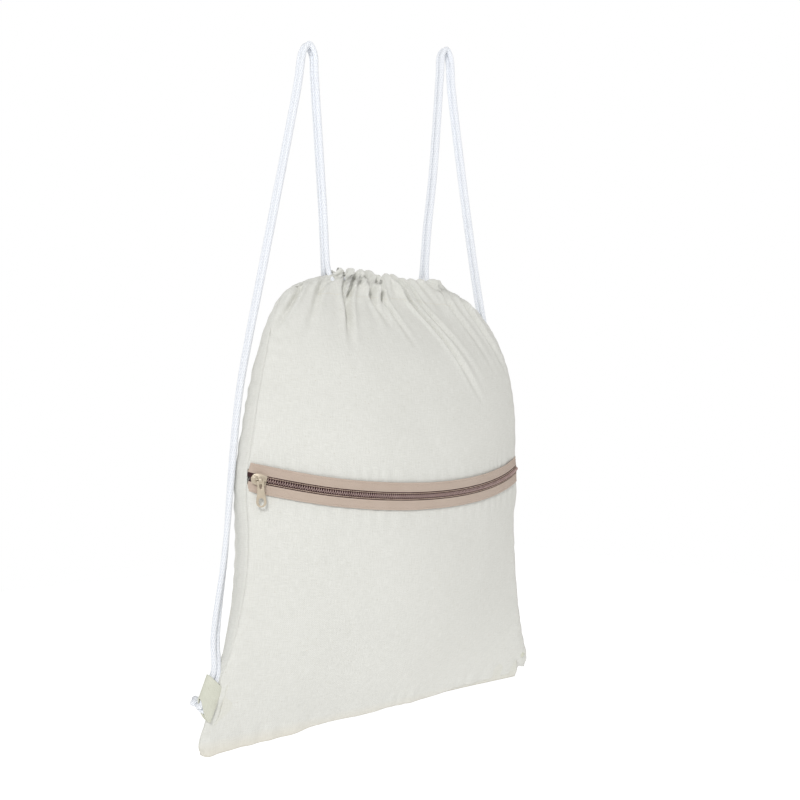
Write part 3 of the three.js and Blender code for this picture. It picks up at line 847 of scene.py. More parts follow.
# %% Plain weave: threads over and under, thick and thin
weave_group, given, put = new_group(
    "plain weave",
    [("Cloth", "NodeSocketVector", None), ("Thread", "NodeSocketFloat", 0.0007),
     ("Slub", "NodeSocketFloat", 0.5)],
    [("Height", "NodeSocketFloat"), ("Thread shade", "NodeSocketFloat"), ("Specks", "NodeSocketFloat")],
)
bend = noise_node(weave_group, given["Cloth"], 90.0, 1.0)
shift = add_node(
    weave_group, "ShaderNodeVectorMath",
    {0: bend.outputs["Color"], 1: (0.5, 0.5, 0.5)}, operation="SUBTRACT",
)
bent = add_node(
    weave_group, "ShaderNodeVectorMath",
    {0: shift.outputs[0], 1: (0.0009, 0.0009, 0.0009), 2: given["Cloth"]}, operation="MULTIPLY_ADD",
)
count = maths(weave_group, "DIVIDE", math.pi, given["Thread"])
apart = add_node(weave_group, "ShaderNodeSeparateXYZ", {0: bent.outputs[0]})
warp = maths(weave_group, "SINE", maths(weave_group, "MULTIPLY", apart.outputs[0], count))
weft = maths(weave_group, "SINE", maths(weave_group, "MULTIPLY", apart.outputs[1], count))
crossing = maths(weave_group, "MULTIPLY", warp, weft)
over = maths(weave_group, "MULTIPLY_ADD", crossing, 0.5, 0.5)
streaks = []
for stretch in ((1400.0, 110.0, 1.0), (130.0, 1500.0, 1.0)):
    pulled = add_node(weave_group, "ShaderNodeMapping", {"Vector": given["Cloth"], "Scale": stretch})
    streaks.append(noise_node(weave_group, pulled.outputs[0], 1.0, 2.0, 0.6).outputs["Fac"])
slub = maths(weave_group, "ADD", streaks[0], streaks[1])
slub = maths(weave_group, "SUBTRACT", slub, 1.0)
crossed = maths(weave_group, "MULTIPLY", over, 0.6)
raised = maths(weave_group, "MULTIPLY_ADD", slub, given["Slub"], crossed)
speck_noise = noise_node(weave_group, given["Cloth"], 620.0, 2.0)
specks = mask(weave_group, speck_noise.outputs["Fac"], 0.66, 0.78)
weave_group.links.new(raised, put["Height"])
weave_group.links.new(maths(weave_group, "MULTIPLY_ADD", slub, 1.6, 0.5), put["Thread shade"])
weave_group.links.new(specks, put["Specks"])

# %% Handling: broad unevenness of colour and wear
handling_group, given, put = new_group(
    "handling",
    [("Place", "NodeSocketVector", None), ("Size", "NodeSocketFloat", 0.08),
     ("Strength", "NodeSocketFloat", 0.5)],
    [("Shade", "NodeSocketFloat"), ("Scuffs", "NodeSocketFloat")],
)
scale = maths(handling_group, "DIVIDE", 1.0, given["Size"])
broad = noise_node(handling_group, given["Place"], scale, 3.0, 0.55)
centred = maths(handling_group, "SUBTRACT", broad.outputs["Fac"], 0.5)
shade = maths(handling_group, "MULTIPLY_ADD", centred, given["Strength"], 0.5)
fine = noise_node(handling_group, given["Place"], 900.0, 3.0)
scuffs = mask(handling_group, fine.outputs["Fac"], 0.55, 0.72)
handling_group.links.new(shade, put["Shade"])
handling_group.links.new(scuffs, put["Scuffs"])

# %% Twill: slanting thread lines for tapes, braid and sewing thread
twill_group, given, put = new_group(
    "slanting threads",
    [("Cloth", "NodeSocketVector", None), ("Spacing", "NodeSocketFloat", 0.0006),
     ("Slant", "NodeSocketFloat", 0.7)],
    [("Height", "NodeSocketFloat")],
)
apart = add_node(twill_group, "ShaderNodeSeparateXYZ", {0: given["Cloth"]})
slanted = maths(twill_group, "MULTIPLY_ADD", apart.outputs[1], given["Slant"], apart.outputs[0])
turns = maths(twill_group, "MULTIPLY", slanted, 2 * math.pi)
turns = maths(twill_group, "DIVIDE", turns, given["Spacing"])
line_height = maths(twill_group, "MULTIPLY_ADD", maths(twill_group, "SINE", turns), 0.5, 0.5)
twill_group.links.new(line_height, put["Height"])
print("shader groups:", [g.name for g in bpy.data.node_groups])


# %% Colours as they are mixed
def colour(red, green, blue):
    """A colour by its usual 0-255 numbers, made linear for the shader."""
    def linear(c):
        c /= 255
        return c / 12.92 if c <= 0.04045 else ((c + 0.055) / 1.055) ** 2.4

    return (linear(red), linear(green), linear(blue), 1.0)


def new_material(name, roughness, metallic=0.0, specular=0.3):
    material = bpy.data.materials.new(name)
    material.use_nodes = True
    shader = material.node_tree.nodes["Principled BSDF"]
    shader.inputs["Roughness"].default_value = roughness
    shader.inputs["Metallic"].default_value = metallic
    shader.inputs["Specular IOR Level"].default_value = specular
    return material, material.node_tree, shader


def mix_colours(tree, amount, low, high):
    links = {0: amount, 6: low, 7: high}
    return add_node(tree, "ShaderNodeMix", links, data_type="RGBA", blend_type="MIX").outputs[2]


def bump(tree, shader, height, distance):
    node = add_node(tree, "ShaderNodeBump", {"Height": height, "Distance": distance})
    tree.links.new(node.outputs[0], shader.inputs["Normal"])


def cloth_uv(tree):
    return add_node(tree, "ShaderNodeUVMap", uv_map="cloth").outputs[0]


def object_place(tree):
    return add_node(tree, "ShaderNodeTexCoord").outputs["Object"]


# %% [markdown]
# ## Natural canvas
#
# Unbleached cotton is a warm off-white. Up close it is not one colour: thick and thin threads
# give faint streaks both ways, and small brown specks of husk are left in. The weave is read
# from the panel's own UV map, in metres of cloth, so it bends with the folds. Sheen gives the
# light edge that fuzzy cotton has.

# %% Canvas finishes
def canvas_finish(name, pale, deep, thread=0.00075, slub=0.5, depth=0.00028):
    material, tree, shader = new_material(name, 0.92, specular=0.15)
    shader.inputs["Sheen Weight"].default_value = 0.18
    shader.inputs["Sheen Roughness"].default_value = 0.6
    shader.inputs["Sheen Tint"].default_value = colour(255, 250, 240)
    cloth = cloth_uv(tree)
    weave = use_group(tree, weave_group, {"Cloth": cloth, "Thread": thread, "Slub": slub})
    handled = use_group(
        tree, handling_group, {"Place": object_place(tree), "Size": 0.07, "Strength": 0.7}
    )
    both = maths(tree, "MULTIPLY_ADD", weave["Thread shade"], 0.6, 0.2)
    both = maths(tree, "MULTIPLY_ADD", handled["Shade"], 0.4, both)
    both = maths(tree, "SUBTRACT", both, 0.2)
    base = mix_colours(tree, both, deep, pale)
    speck = maths(tree, "MULTIPLY", weave["Specks"], 0.35)
    speckled = mix_colours(tree, speck, base, colour(176, 160, 130))
    # Below 626 mm down, the cloth turns warm beige towards the bottom edge: painted shade of the bag's
    # underside.
    height = add_node(tree, "ShaderNodeSeparateXYZ", {0: object_place(tree)}).outputs[2]
    foot = mask(tree, height, -0.626, -0.64, 0.45)
    tree.links.new(mix_colours(tree, foot, speckled, colour(226, 217, 196)), shader.inputs["Base Color"])
    bump(tree, shader, weave["Height"], depth)
    return material


CANVAS = canvas_finish("natural_canvas", colour(233, 233, 228), colour(210, 210, 203))
LINING = canvas_finish("lining_cotton", colour(236, 236, 229), colour(208, 207, 197), 0.0006)
TAB_CLOTH = canvas_finish("tab_cotton", colour(226, 227, 213), colour(202, 203, 187), 0.0007)


# %% [markdown]
# ## Zip, cord and paint finishes
#
# The tapes are a taupe twill. The coil is rose plastic that shines a little, on a bed finished
# dark brown as painted shade between its loops. The slider and pull are zinc with a beige paint,
# worn to the metal in tiny places. The cord is a white braid with a soft, matt surface, its
# thread lines taken from the UV map along its length.

# %% Twill tape
def twill_finish(name, pale, deep, spacing, depth, roughness=0.85):
    material, tree, shader = new_material(name, roughness, specular=0.2)
    shader.inputs["Sheen Weight"].default_value = 0.12
    cloth = cloth_uv(tree)
    lines = use_group(tree, twill_group, {"Cloth": cloth, "Spacing": spacing, "Slant": 0.9})
    handled = use_group(
        tree, handling_group, {"Place": object_place(tree), "Size": 0.02, "Strength": 1.0}
    )
    uneven = maths(tree, "MULTIPLY", handled["Shade"], 0.45)
    amount = maths(tree, "MULTIPLY_ADD", lines["Height"], 0.55, uneven)
    tree.links.new(mix_colours(tree, amount, deep, pale), shader.inputs["Base Color"])
    rough = maths(tree, "MULTIPLY_ADD", handled["Scuffs"], -0.08, roughness)
    tree.links.new(rough, shader.inputs["Roughness"])
    bump(tree, shader, lines["Height"], depth)
    return material


TAPE = twill_finish("taupe_twill_tape", colour(214, 197, 183), colour(190, 170, 154), 0.0009, 0.00022)


# %% Sewing thread, coil and cord
def thread_finish(name, pale, deep, roughness, specular, spacing=0.0004):
    material, tree, shader = new_material(name, roughness, specular=specular)
    place = object_place(tree)
    lines = use_group(tree, twill_group, {"Cloth": place, "Spacing": spacing, "Slant": 0.6})
    handled = use_group(tree, handling_group, {"Place": place, "Size": 0.006, "Strength": 1.1})
    tree.links.new(mix_colours(tree, handled["Shade"], deep, pale), shader.inputs["Base Color"])
    rough = maths(tree, "MULTIPLY_ADD", handled["Scuffs"], 0.12, roughness)
    tree.links.new(rough, shader.inputs["Roughness"])
    bump(tree, shader, lines["Height"], 0.00005)
    return material


COIL = thread_finish(
    "rose_coil_plastic", colour(206, 182, 176), colour(168, 140, 134), 0.36, 0.5, 0.0012
)
# The coil's bed is finished dark brown: painted shade in the gaps between the loops.
PAINTED_SHADE_BED = thread_finish("chain_bed_painted_shade", colour(72, 46, 46), colour(44, 28, 30), 0.75, 0.2, 0.0007)
PALE_THREAD = thread_finish("ivory_thread", colour(236, 232, 220), colour(210, 204, 190), 0.7, 0.25)
BROWN_THREAD = thread_finish("brown_thread", colour(168, 144, 126), colour(128, 106, 92), 0.7, 0.25)
TAUPE_THREAD = thread_finish("taupe_thread", colour(208, 188, 172), colour(172, 150, 134), 0.7, 0.25)


def braid_finish():
    material, tree, shader = new_material("white_braided_cord", 0.78, specular=0.25)
    shader.inputs["Sheen Weight"].default_value = 0.25
    shader.inputs["Sheen Roughness"].default_value = 0.5
    cloth = cloth_uv(tree)
    apart = add_node(tree, "ShaderNodeSeparateXYZ", {0: cloth})
    heights = []
    for hand in (1, -1):
        turns = maths(tree, "MULTIPLY", apart.outputs[0], 2 * math.pi * BRAID_PAIRS)
        runs = maths(tree, "MULTIPLY", apart.outputs[1], hand * 2 * math.pi / (BRAID_LAY * MM))
        heights.append(maths(tree, "COSINE", maths(tree, "ADD", turns, runs)))
    top = maths(tree, "MAXIMUM", heights[0], heights[1])
    # Raised strands are paler and the hollows between them darker: painted shade of the braid's relief.
    lit = mask(tree, top, -0.4, 0.9)
    handled = use_group(
        tree, handling_group, {"Place": object_place(tree), "Size": 0.03, "Strength": 0.8}
    )
    amount = maths(tree, "MULTIPLY", lit, maths(tree, "MULTIPLY_ADD", handled["Shade"], 0.5, 0.75))
    tree.links.new(
        mix_colours(tree, amount, colour(226, 231, 238), colour(249, 251, 255)),
        shader.inputs["Base Color"],
    )
    strands = use_group(tree, twill_group, {"Cloth": cloth, "Spacing": 0.0011, "Slant": 2.0})
    fuzz = maths(tree, "MULTIPLY_ADD", strands["Height"], 0.3, top)
    bump(tree, shader, fuzz, 0.00014)
    return material


BRAID = braid_finish()


# %% Painted zinc
def paint_finish():
    material, tree, shader = new_material("beige_painted_zinc", 0.42, 0.25, 0.5)
    shader.inputs["Coat Weight"].default_value = 0.25
    shader.inputs["Coat Roughness"].default_value = 0.3
    place = object_place(tree)
    handled = use_group(tree, handling_group, {"Place": place, "Size": 0.004, "Strength": 1.0})
    base = mix_colours(tree, handled["Shade"], colour(182, 168, 146), colour(204, 192, 172))
    worn = maths(tree, "MULTIPLY", handled["Scuffs"], 0.22)
    tree.links.new(mix_colours(tree, worn, base, colour(150, 146, 140)), shader.inputs["Base Color"])
    rough = maths(tree, "MULTIPLY_ADD", handled["Scuffs"], 0.18, 0.38)
    tree.links.new(rough, shader.inputs["Roughness"])
    grain = noise_node(tree, place, 1500.0, 2.0)
    bump(tree, shader, grain.outputs["Fac"], 0.00004)
    return material


PAINT = paint_finish()
print("finishes:", [m.name for m in bpy.data.materials if m.use_nodes])

# %% [markdown]
# ## What repeats: coil loops and stitches
#
# A zip coil is one plastic thread wound into hundreds of equal loops, and a seam is hundreds
# of equal stitches. Both are one small shape set out along a line, so one Geometry Nodes tree
# makes them all. The line carries two directions at each point, along it and out of the
# cloth, which turn each copy the right way.

# %% The tree that sets out one shape along a line
def build_repeat_tree():
    tree = bpy.data.node_groups.new("set out along a line", "GeometryNodeTree")
    for label, kind, value in (
        ("Line", "NodeSocketGeometry", None), ("Shape", "NodeSocketObject", None),
        ("Spacing", "NodeSocketFloat", 0.003), ("Unevenness", "NodeSocketFloat", 0.06),
        ("Seed", "NodeSocketInt", 1), ("Finish", "NodeSocketMaterial", None),
    ):
        socket = tree.interface.new_socket(label, in_out="INPUT", socket_type=kind)
        if value is not None:
            socket.default_value = value
    tree.interface.new_socket("Pieces", in_out="OUTPUT", socket_type="NodeSocketGeometry")
    given = tree.nodes.new("NodeGroupInput").outputs
    curve = add_node(tree, "GeometryNodeMeshToCurve", {"Mesh": given["Line"]})
    stations = add_node(
        tree, "GeometryNodeResampleCurve", {"Curve": curve.outputs[0], "Length": given["Spacing"]},
        mode="LENGTH",
    )
    turn = None
    for attribute, axis, pivot in (("along", "X", "AUTO"), ("out", "Z", "X")):
        direction = add_node(
            tree, "GeometryNodeInputNamedAttribute", {"Name": attribute}, data_type="FLOAT_VECTOR"
        )
        links = {"Vector": direction.outputs["Attribute"]}
        if turn is not None:
            links["Rotation"] = turn
        turn = add_node(
            tree, "FunctionNodeAlignRotationToVector", links, axis=axis, pivot_axis=pivot
        ).outputs[0]
    low = maths(tree, "SUBTRACT", 1.0, given["Unevenness"])
    high = maths(tree, "ADD", 1.0, given["Unevenness"])
    size = add_node(
        tree, "FunctionNodeRandomValue", {2: low, 3: high, "Seed": given["Seed"]}, data_type="FLOAT"
    )
    shape = add_node(tree, "GeometryNodeObjectInfo", {"Object": given["Shape"]})
    copies = add_node(
        tree, "GeometryNodeInstanceOnPoints",
        {"Points": stations.outputs[0], "Instance": shape.outputs["Geometry"], "Rotation": turn,
         "Scale": size.outputs[1]},
    )
    real = add_node(tree, "GeometryNodeRealizeInstances", {0: copies.outputs[0]})
    finished = add_node(
        tree, "GeometryNodeSetMaterial", {"Geometry": real.outputs[0], "Material": given["Finish"]}
    )
    end = tree.nodes.new("NodeGroupOutput")
    tree.links.new(finished.outputs[0], end.inputs[0])
    return tree


REPEAT = build_repeat_tree()


# %% A small rounded loop or stitch, and the call that sets it out
def small_shape(name, points, radius, sides=6):
    """One thread or filament element: a closed tube through a few points, in millimetres."""
    line = spline([np.array(p, float) for p in points], np.linspace(0, 1, 7))
    along = distance_along(line)
    end = np.minimum(along, along[-1] - along)

    def rounding(angle, distance):
        near = np.interp(distance, along, end)
        return radius * np.sqrt(np.clip(0.25 + near / radius * 0.75, 0, 1)) + 0 * angle

    obj = tube(name, line, rounding, sides, along)
    obj.hide_render = True
    obj.hide_viewport = True
    return obj


def set_out(name, line, out, shape, spacing, finish, unevenness=0.06, seed=1):
    """Copies of shape every spacing mm along line (mm), facing out."""
    mesh = bpy.data.meshes.new(name + "_line")
    edges = [(k, k + 1) for k in range(len(line) - 1)]
    mesh.from_pydata((line * MM).tolist(), edges, [])
    for label, values in (("along", unit(np.gradient(line, axis=0))), ("out", out)):
        attribute = mesh.attributes.new(label, "FLOAT_VECTOR", "POINT")
        attribute.data.foreach_set("vector", np.asarray(values, np.float32).ravel())
    path = add_object(name + "_path", mesh)
    modifier = path.modifiers.new("set out", "NODES")
    modifier.node_group = REPEAT
    sockets = {item.name: item.identifier for item in REPEAT.interface.items_tree}
    for label, value in (
        ("Shape", shape), ("Spacing", spacing * MM), ("Unevenness", unevenness),
        ("Seed", seed), ("Finish", finish),
    ):
        modifier[sockets[label]] = value
    bpy.context.view_layer.update()
    evaluated = path.evaluated_get(bpy.context.evaluated_depsgraph_get())
    made = bpy.data.meshes.new_from_object(evaluated)
    obj = add_object(name, made)
    made.polygons.foreach_set("use_smooth", [True] * len(made.polygons))
    bpy.data.objects.remove(path)
    return obj


# %% [markdown]
# ## The zip
#
# Each tape is a bent strip with a raised selvedge, a groove where the seam stitches pull it
# down, and a raised fold beside the coil. The coil is made as two rows of loops, one from
# each side, half a step apart, so that they lock together down the middle.

# %% Tapes
TAPE_EDGE = 12.0
TAPE_COLUMNS = int(420 / DETAIL)
# Where the chain and the seams start and stop along the zip's arc
CHAIN_FIRST = -0.955 * ZIP_HALF_ANGLE
CHAIN_LAST = 0.985 * ZIP_HALF_ANGLE


def tape_relief(up):
    """Height of the tape's face, in mm, by distance from the zip's middle line."""
    selvedge = 0.16 * np.exp(-(((up - 11.5) / 0.45) ** 2))
    groove = -0.16 * np.exp(-(((up - 10.3) / 0.4) ** 2))
    fold = 0.26 * np.exp(-(((up - 4.4) / 0.55) ** 2))
    ditch = -0.3 * np.exp(-(((up - 3.5) / 0.35) ** 2))
    return selvedge + groove + fold + ditch


zip_tapes = {}
tape_angles = {
    label: np.linspace(first * ZIP_HALF_ANGLE, 0.992 * ZIP_HALF_ANGLE, TAPE_COLUMNS)
    for label, first in (("upper", -1), ("lower", -0.985))
}
for label, sign in (("upper", 1), ("lower", -1)):
    across = np.linspace(3.5, TAPE_EDGE, 36)
    angle, up = np.meshgrid(tape_angles[label], across)
    arc = angle * ZIP_RADIUS
    wave = 0.12 * np.sin(arc / 9.5) * np.clip((up - 5) / 7, 0, 1)
    wave += 0.1 * np.sin(arc / 2.9 * 2 * math.pi / 2) * np.exp(-(((up - 10.3) / 0.8) ** 2))
    edge = 0.25 * soft_noise(np.stack([arc, 0 * arc, 0 * arc + 9], -1), 14, 71)
    edge = edge * np.clip((up - 9) / 3, 0, 1)
    grid = turn_into_seam(on_zip(angle, sign * (up + edge), 0.3 + tape_relief(up) + wave))
    obj = new_object(f"{label}_zip_tape", grid.reshape(-1, 3), grid_faces(*angle.shape, sign > 0))
    write_uv(obj, np.stack([arc, sign * up], -1).reshape(-1, 2) * MM)
    obj.modifiers.new("thickness", "SOLIDIFY").thickness = 0.5 * MM
    obj.modifiers["thickness"].offset = -1
    obj.data.materials.append(TAPE)
    zip_tapes[label] = obj
    print(obj.name, len(obj.data.polygons), "faces")


# %% Coil loops and the cord they are sewn round
def zip_line(up, out, first=CHAIN_FIRST):
    a = np.linspace(first, CHAIN_LAST, 400)
    _, _, _, outward = zip_frame(a)
    return turn_into_seam(on_zip(a, up, out)), outward


COIL_PITCH = 2.1
zip_coils = {}
# The bed is the cord the loops are sewn round and the tapes' inner edge; its dark brown finish is
# painted shade between the loops.
for label, sign in (("upper", 1), ("lower", -1)):
    angle, up = np.meshgrid(tape_angles[label], np.linspace(0.05, 3.9, 9))
    ridge = 0.25 + 0.25 * np.exp(-(((up - 2.6) / 0.9) ** 2))
    grid = turn_into_seam(on_zip(angle, sign * up, ridge))
    obj = new_object(f"{label}_chain_bed", grid.reshape(-1, 3), grid_faces(*angle.shape, sign > 0))
    write_uv(obj, np.stack([angle * ZIP_RADIUS, up], -1).reshape(-1, 2) * MM)
    obj.modifiers.new("thickness", "SOLIDIFY").thickness = 0.5 * MM
    obj.data.materials.append(PAINTED_SHADE_BED)
    zip_coils[label + "_bed"] = obj
for label, sign in (("upper", 1), ("lower", -1)):
    loop = small_shape(
        f"{label}_coil_loop",
        [(0.3, 0, -0.9), (0.25, sign * 1.2, -0.85), (0.2, sign * 1.6, -0.1), (0, sign * 1.1, 0.8),
         (-0.3, sign * 0.2, 0.95), (-0.6, sign * -1.2, 0.2)],
        0.27 if sign > 0 else 0.24,
    )
    shift = 0.0 if sign > 0 else 0.5 * COIL_PITCH / ZIP_RADIUS
    line, outward = zip_line(0, 1.75 if sign > 0 else 1.1, CHAIN_FIRST + shift)
    zip_coils[label] = set_out(
        f"{label}_zip_coil", line, outward, loop, COIL_PITCH, COIL, 0.02, 3
    )
    stitch = small_shape(
        f"{label}_coil_stitch_shape", [(-1.05, 0, -0.2), (0, 0, 0.08), (1.05, 0, -0.2)], 0.42, 5
    )
    seam, outward = zip_line(sign * 2.55, 0.95)
    zip_coils[label + "_sewing"] = set_out(
        f"{label}_coil_stitches", seam, outward, stitch, COIL_PITCH, TAUPE_THREAD, 0.08, 4
    )
print("coil faces", len(zip_coils["upper"].data.polygons))

# %% Seam stitches along both tapes
STITCH = small_shape(
    "stitch_shape", [(-1.25, 0, -0.34), (-0.8, 0, 0.02), (0.8, 0, 0.02), (1.25, 0, -0.34)], 0.2, 6
)
tape_stitches = {}
for label, sign in (("upper", 1), ("lower", -1)):
    line, outward = zip_line(sign * 11.3, 0.52)
    tape_stitches[label] = set_out(
        f"{label}_tape_stitches", line, outward, STITCH, 3.4, BROWN_THREAD, 0.06, 5
    )
print("stitch faces", len(tape_stitches["upper"].data.polygons))

# %% [markdown]
# ## Slider and pull
#
# Both are small zinc castings with rounded edges. Their flat parts have odd outlines and
# holes, which suits a filled 2-D curve: it takes an outline, its holes, a thickness and an
# edge rounding, and turns into a mesh in one step. The bridge is a bent bar, so it is a tube.

# %% Where the slider sits, and plates cut from an outline
SLIDER_START = -(ZIP_HALF_CHORD - 7.0)
SLIDER_ANGLE = math.asin(SLIDER_START / ZIP_RADIUS)
BRIDGE_HEIGHT = 7.0
BRIDGE_SHIFT = 1.2
PULL_SWAY = math.radians(15)
SHARP_ANGLE = math.radians(38)


def placement(x_axis, y_axis, z_axis, origin):
    place = Matrix.Identity(4)
    for column, axis in enumerate((x_axis, y_axis, z_axis, np.asarray(origin) * MM)):
        for row in range(3):
            place[row][column] = float(axis[row])
    return place


_, ALONG, UP, OUTWARD = zip_frame(SLIDER_ANGLE)
ON_SLIDER = placement(ALONG, UP, OUTWARD, on_zip(SLIDER_ANGLE, 0, 0))
HINGE = unit(ALONG * math.cos(PULL_SWAY) + UP * math.sin(PULL_SWAY))
HANG = np.array([0, 0, -1.0])
HANG = unit(HANG - HINGE * (HANG @ HINGE))
ON_PULL = placement(
    HINGE, -HANG, np.cross(HINGE, -HANG), on_zip(SLIDER_ANGLE, 0, BRIDGE_HEIGHT) + ALONG * BRIDGE_SHIFT
)


def cut_plate(name, outlines, low, high, rounding, place, slope=None):
    """A plate between two heights with rounded edges; the later outlines are holes."""
    curve = bpy.data.curves.new(name, "CURVE")
    curve.dimensions = "2D"
    curve.fill_mode = "BOTH"
    curve.extrude = ((high - low) / 2 - rounding) * MM
    curve.bevel_depth = rounding * MM
    curve.bevel_resolution = 2
    curve.offset = -rounding * MM
    for outline in outlines:
        loop = curve.splines.new("POLY")
        loop.points.add(len(outline) - 1)
        for point, (x, y) in zip(loop.points, outline):
            point.co = (x * MM, y * MM, 0, 1)
        loop.use_cyclic_u = True
    flat = add_object(name + "_flat", curve)
    bpy.context.view_layer.update()
    evaluated = flat.evaluated_get(bpy.context.evaluated_depsgraph_get())
    mesh = bpy.data.meshes.new_from_object(evaluated)
    bpy.data.objects.remove(flat)
    mesh.transform(Matrix.Translation((0, 0, (low + high) / 2 * MM)))
    if slope is not None:
        for vertex in mesh.vertices:
            vertex.co.z += slope(vertex.co.x / MM, vertex.co.y / MM) * MM
    mesh.transform(place)
    return add_object(name, mesh)


def join(name, objects):
    """One piece from several, with doubles merged and every face turned outwards."""
    whole = bmesh.new()
    for part in objects:
        whole.from_mesh(part.data)
        bpy.data.objects.remove(part)
    bmesh.ops.remove_doubles(whole, verts=whole.verts, dist=0.00001)
    bmesh.ops.recalc_face_normals(whole, faces=whole.faces)
    mesh = bpy.data.meshes.new(name)
    whole.to_mesh(mesh)
    whole.free()
    mesh.polygons.foreach_set("use_smooth", [True] * len(mesh.polygons))
    mesh.set_sharp_from_angle(angle=SHARP_ANGLE)
    return add_object(name, mesh)


def arc_points(cx, cy, rx, ry, start, stop, count):
    a = np.radians(np.linspace(start, stop, count))
    return [(cx + rx * math.cos(t), cy + ry * math.sin(t)) for t in a]


# %% The slider's plates, neck, crown and bridge
def slider_outline(half, tail):
    length = 6.5
    upper = [(length, tail - 0.9), (length - 0.25, tail - 0.25), (length - 0.9, tail)]
    upper += [(2.5, half - 0.35), (0.2, half), (-1.4, half)]
    upper += [(-3.2, half - 0.35), (-4.8, half - 1.2), (-5.9, half - 2.3), (-6.4, 1.4), (-6.5, 0.5)]
    return upper + [(x, -y) for x, y in upper[::-1]]


def crown_slope(x, y):
    """The upper plate rises a little towards its nose."""
    return 0.35 * max(0.0, 1 - ((x + 3.6) / 3.0) ** 2 - (y / 4.0) ** 2)


neck_outline = [(-5.6, -0.5), (-2.4, -0.3), (-2.0, 0), (-2.4, 0.3), (-5.6, 0.5)]
slider_parts = [
    cut_plate("top_plate", [slider_outline(5.0, 4.2)], 3.2, 4.4, 0.35, ON_SLIDER, crown_slope),
    cut_plate("low_plate", [slider_outline(4.8, 4.0)], -1.9, -0.7, 0.3, ON_SLIDER),
    cut_plate("neck", [neck_outline], -1.2, 3.6, 0.1, ON_SLIDER),
]
for y in (-3.95, 3.95):
    edge = [(-1, y - 0.5), (5.6, y - 0.5), (5.9, y), (5.6, y + 0.5), (-1, y + 0.5), (-1.4, y)]
    slider_parts.append(cut_plate("flange", [edge], 0.7, 3.5, 0.2, ON_SLIDER))
for k, (size, low, high) in enumerate(((3.1, 4.2, 5.1), (2.6, 4.9, 5.75), (1.7, 5.55, 6.2))):
    ring = arc_points(-3.8, 0, size, size * 0.95, 0, 345, 24)
    slider_parts.append(cut_plate(f"crown_{k}", [ring], low, high, 0.35, ON_SLIDER))
bridge = spline(
    [np.array(p, float) for p in (
        (-3.2, 0, 4.0), (-3.15, 0, 6.3), (-2.3, 0, 7.2), (1.2, 0, 7.35), (4.7, 0, 7.2),
        (5.55, 0, 6.3), (5.6, 0, 4.0),
    )],
    np.linspace(0, 1, 37),
)
bar = tube("bridge", bridge, lambda angle, along: 0.55 + 0.2 * np.abs(np.sin(angle)) + 0 * along, 16)
bar.data.transform(ON_SLIDER)
slider = join("painted_zip_slider", slider_parts + [bar])
slider.data.materials.append(PAINT)
print("slider faces", len(slider.data.polygons))

# %% The pull: a rolled eye, a window and an oval hole
PULL_HALF_WIDTH = 4.3
PULL_LENGTH = 23.0
EYE_RADIUS = 1.88
EYE_STEPS = 32
EYE_SIDES = 12
side_line = [(-2.9, -1.0), (-2.9, -5), (-3.0, -9), (-3.2, -11), (-3.6, -13), (-4.0, -15), (-4.3, -18)]
nose_height = -PULL_LENGTH + PULL_HALF_WIDTH
nose = arc_points(0, nose_height, PULL_HALF_WIDTH, PULL_HALF_WIDTH, 188, 352, 22)
pull_outline = side_line + nose + [(-x, y) for x, y in side_line[::-1]]
window = [
    (-1.15, -3.3), (1.15, -3.3), (1.1, -5.2), (0.75, -7.3),
    (0.35, -7.7), (-0.35, -7.7), (-0.75, -7.3), (-1.1, -5.2),
]
oval = arc_points(0, nose_height + 0.3, 2.25, 3.2, 0, 345, 28)


def dished(x, _):
    """The tongue is a little hollow along its middle."""
    return 0.12 * (x / PULL_HALF_WIDTH) ** 2


tongue = cut_plate("tongue", [pull_outline, window, oval], -0.7, 0.7, 0.28, ON_PULL, dished)
eye_angles = np.linspace(0, 2 * math.pi, EYE_STEPS + 1)
eye_line = np.stack(
    [0 * eye_angles, EYE_RADIUS * np.sin(eye_angles), EYE_RADIUS * np.cos(eye_angles)], -1
)[:-1]
eye_side = np.array([1.0, 0, 0])
eye_out = unit(eye_line)
verts = []
for k in range(EYE_SIDES):
    a = 2 * math.pi * k / EYE_SIDES
    cross = (abs(math.cos(a)) ** 0.6) * math.copysign(1, math.cos(a)) * 1.3
    lift = (abs(math.sin(a)) ** 0.6) * math.copysign(1, math.sin(a)) * 0.42
    verts.append(eye_line + eye_side * cross + eye_out * lift)
verts = np.stack(verts, 1)
faces = []
for i in range(EYE_STEPS):
    here = i * EYE_SIDES
    there = (i + 1) % EYE_STEPS * EYE_SIDES
    for k in range(EYE_SIDES):
        beside = (k + 1) % EYE_SIDES
        faces.append([here + k, here + beside, there + beside, there + k])
eye = new_object("eye", verts.reshape(-1, 3), faces)
eye.data.transform(ON_PULL)
pull = join("painted_zip_pull", [tongue, eye])
pull.data.materials.append(PAINT)
print("pull faces", len(pull.data.polygons))

# %% [markdown]
# ## Corner tabs
#
# A tab is a short strip of cotton folded round the two cord ends and caught in the side seam.
# It is a flat sleeve: pinched where it is sewn, open and rounded at its fold, with cut edges
# that are never quite straight. So it is a bent sheet with a thickness, and not a solid block.

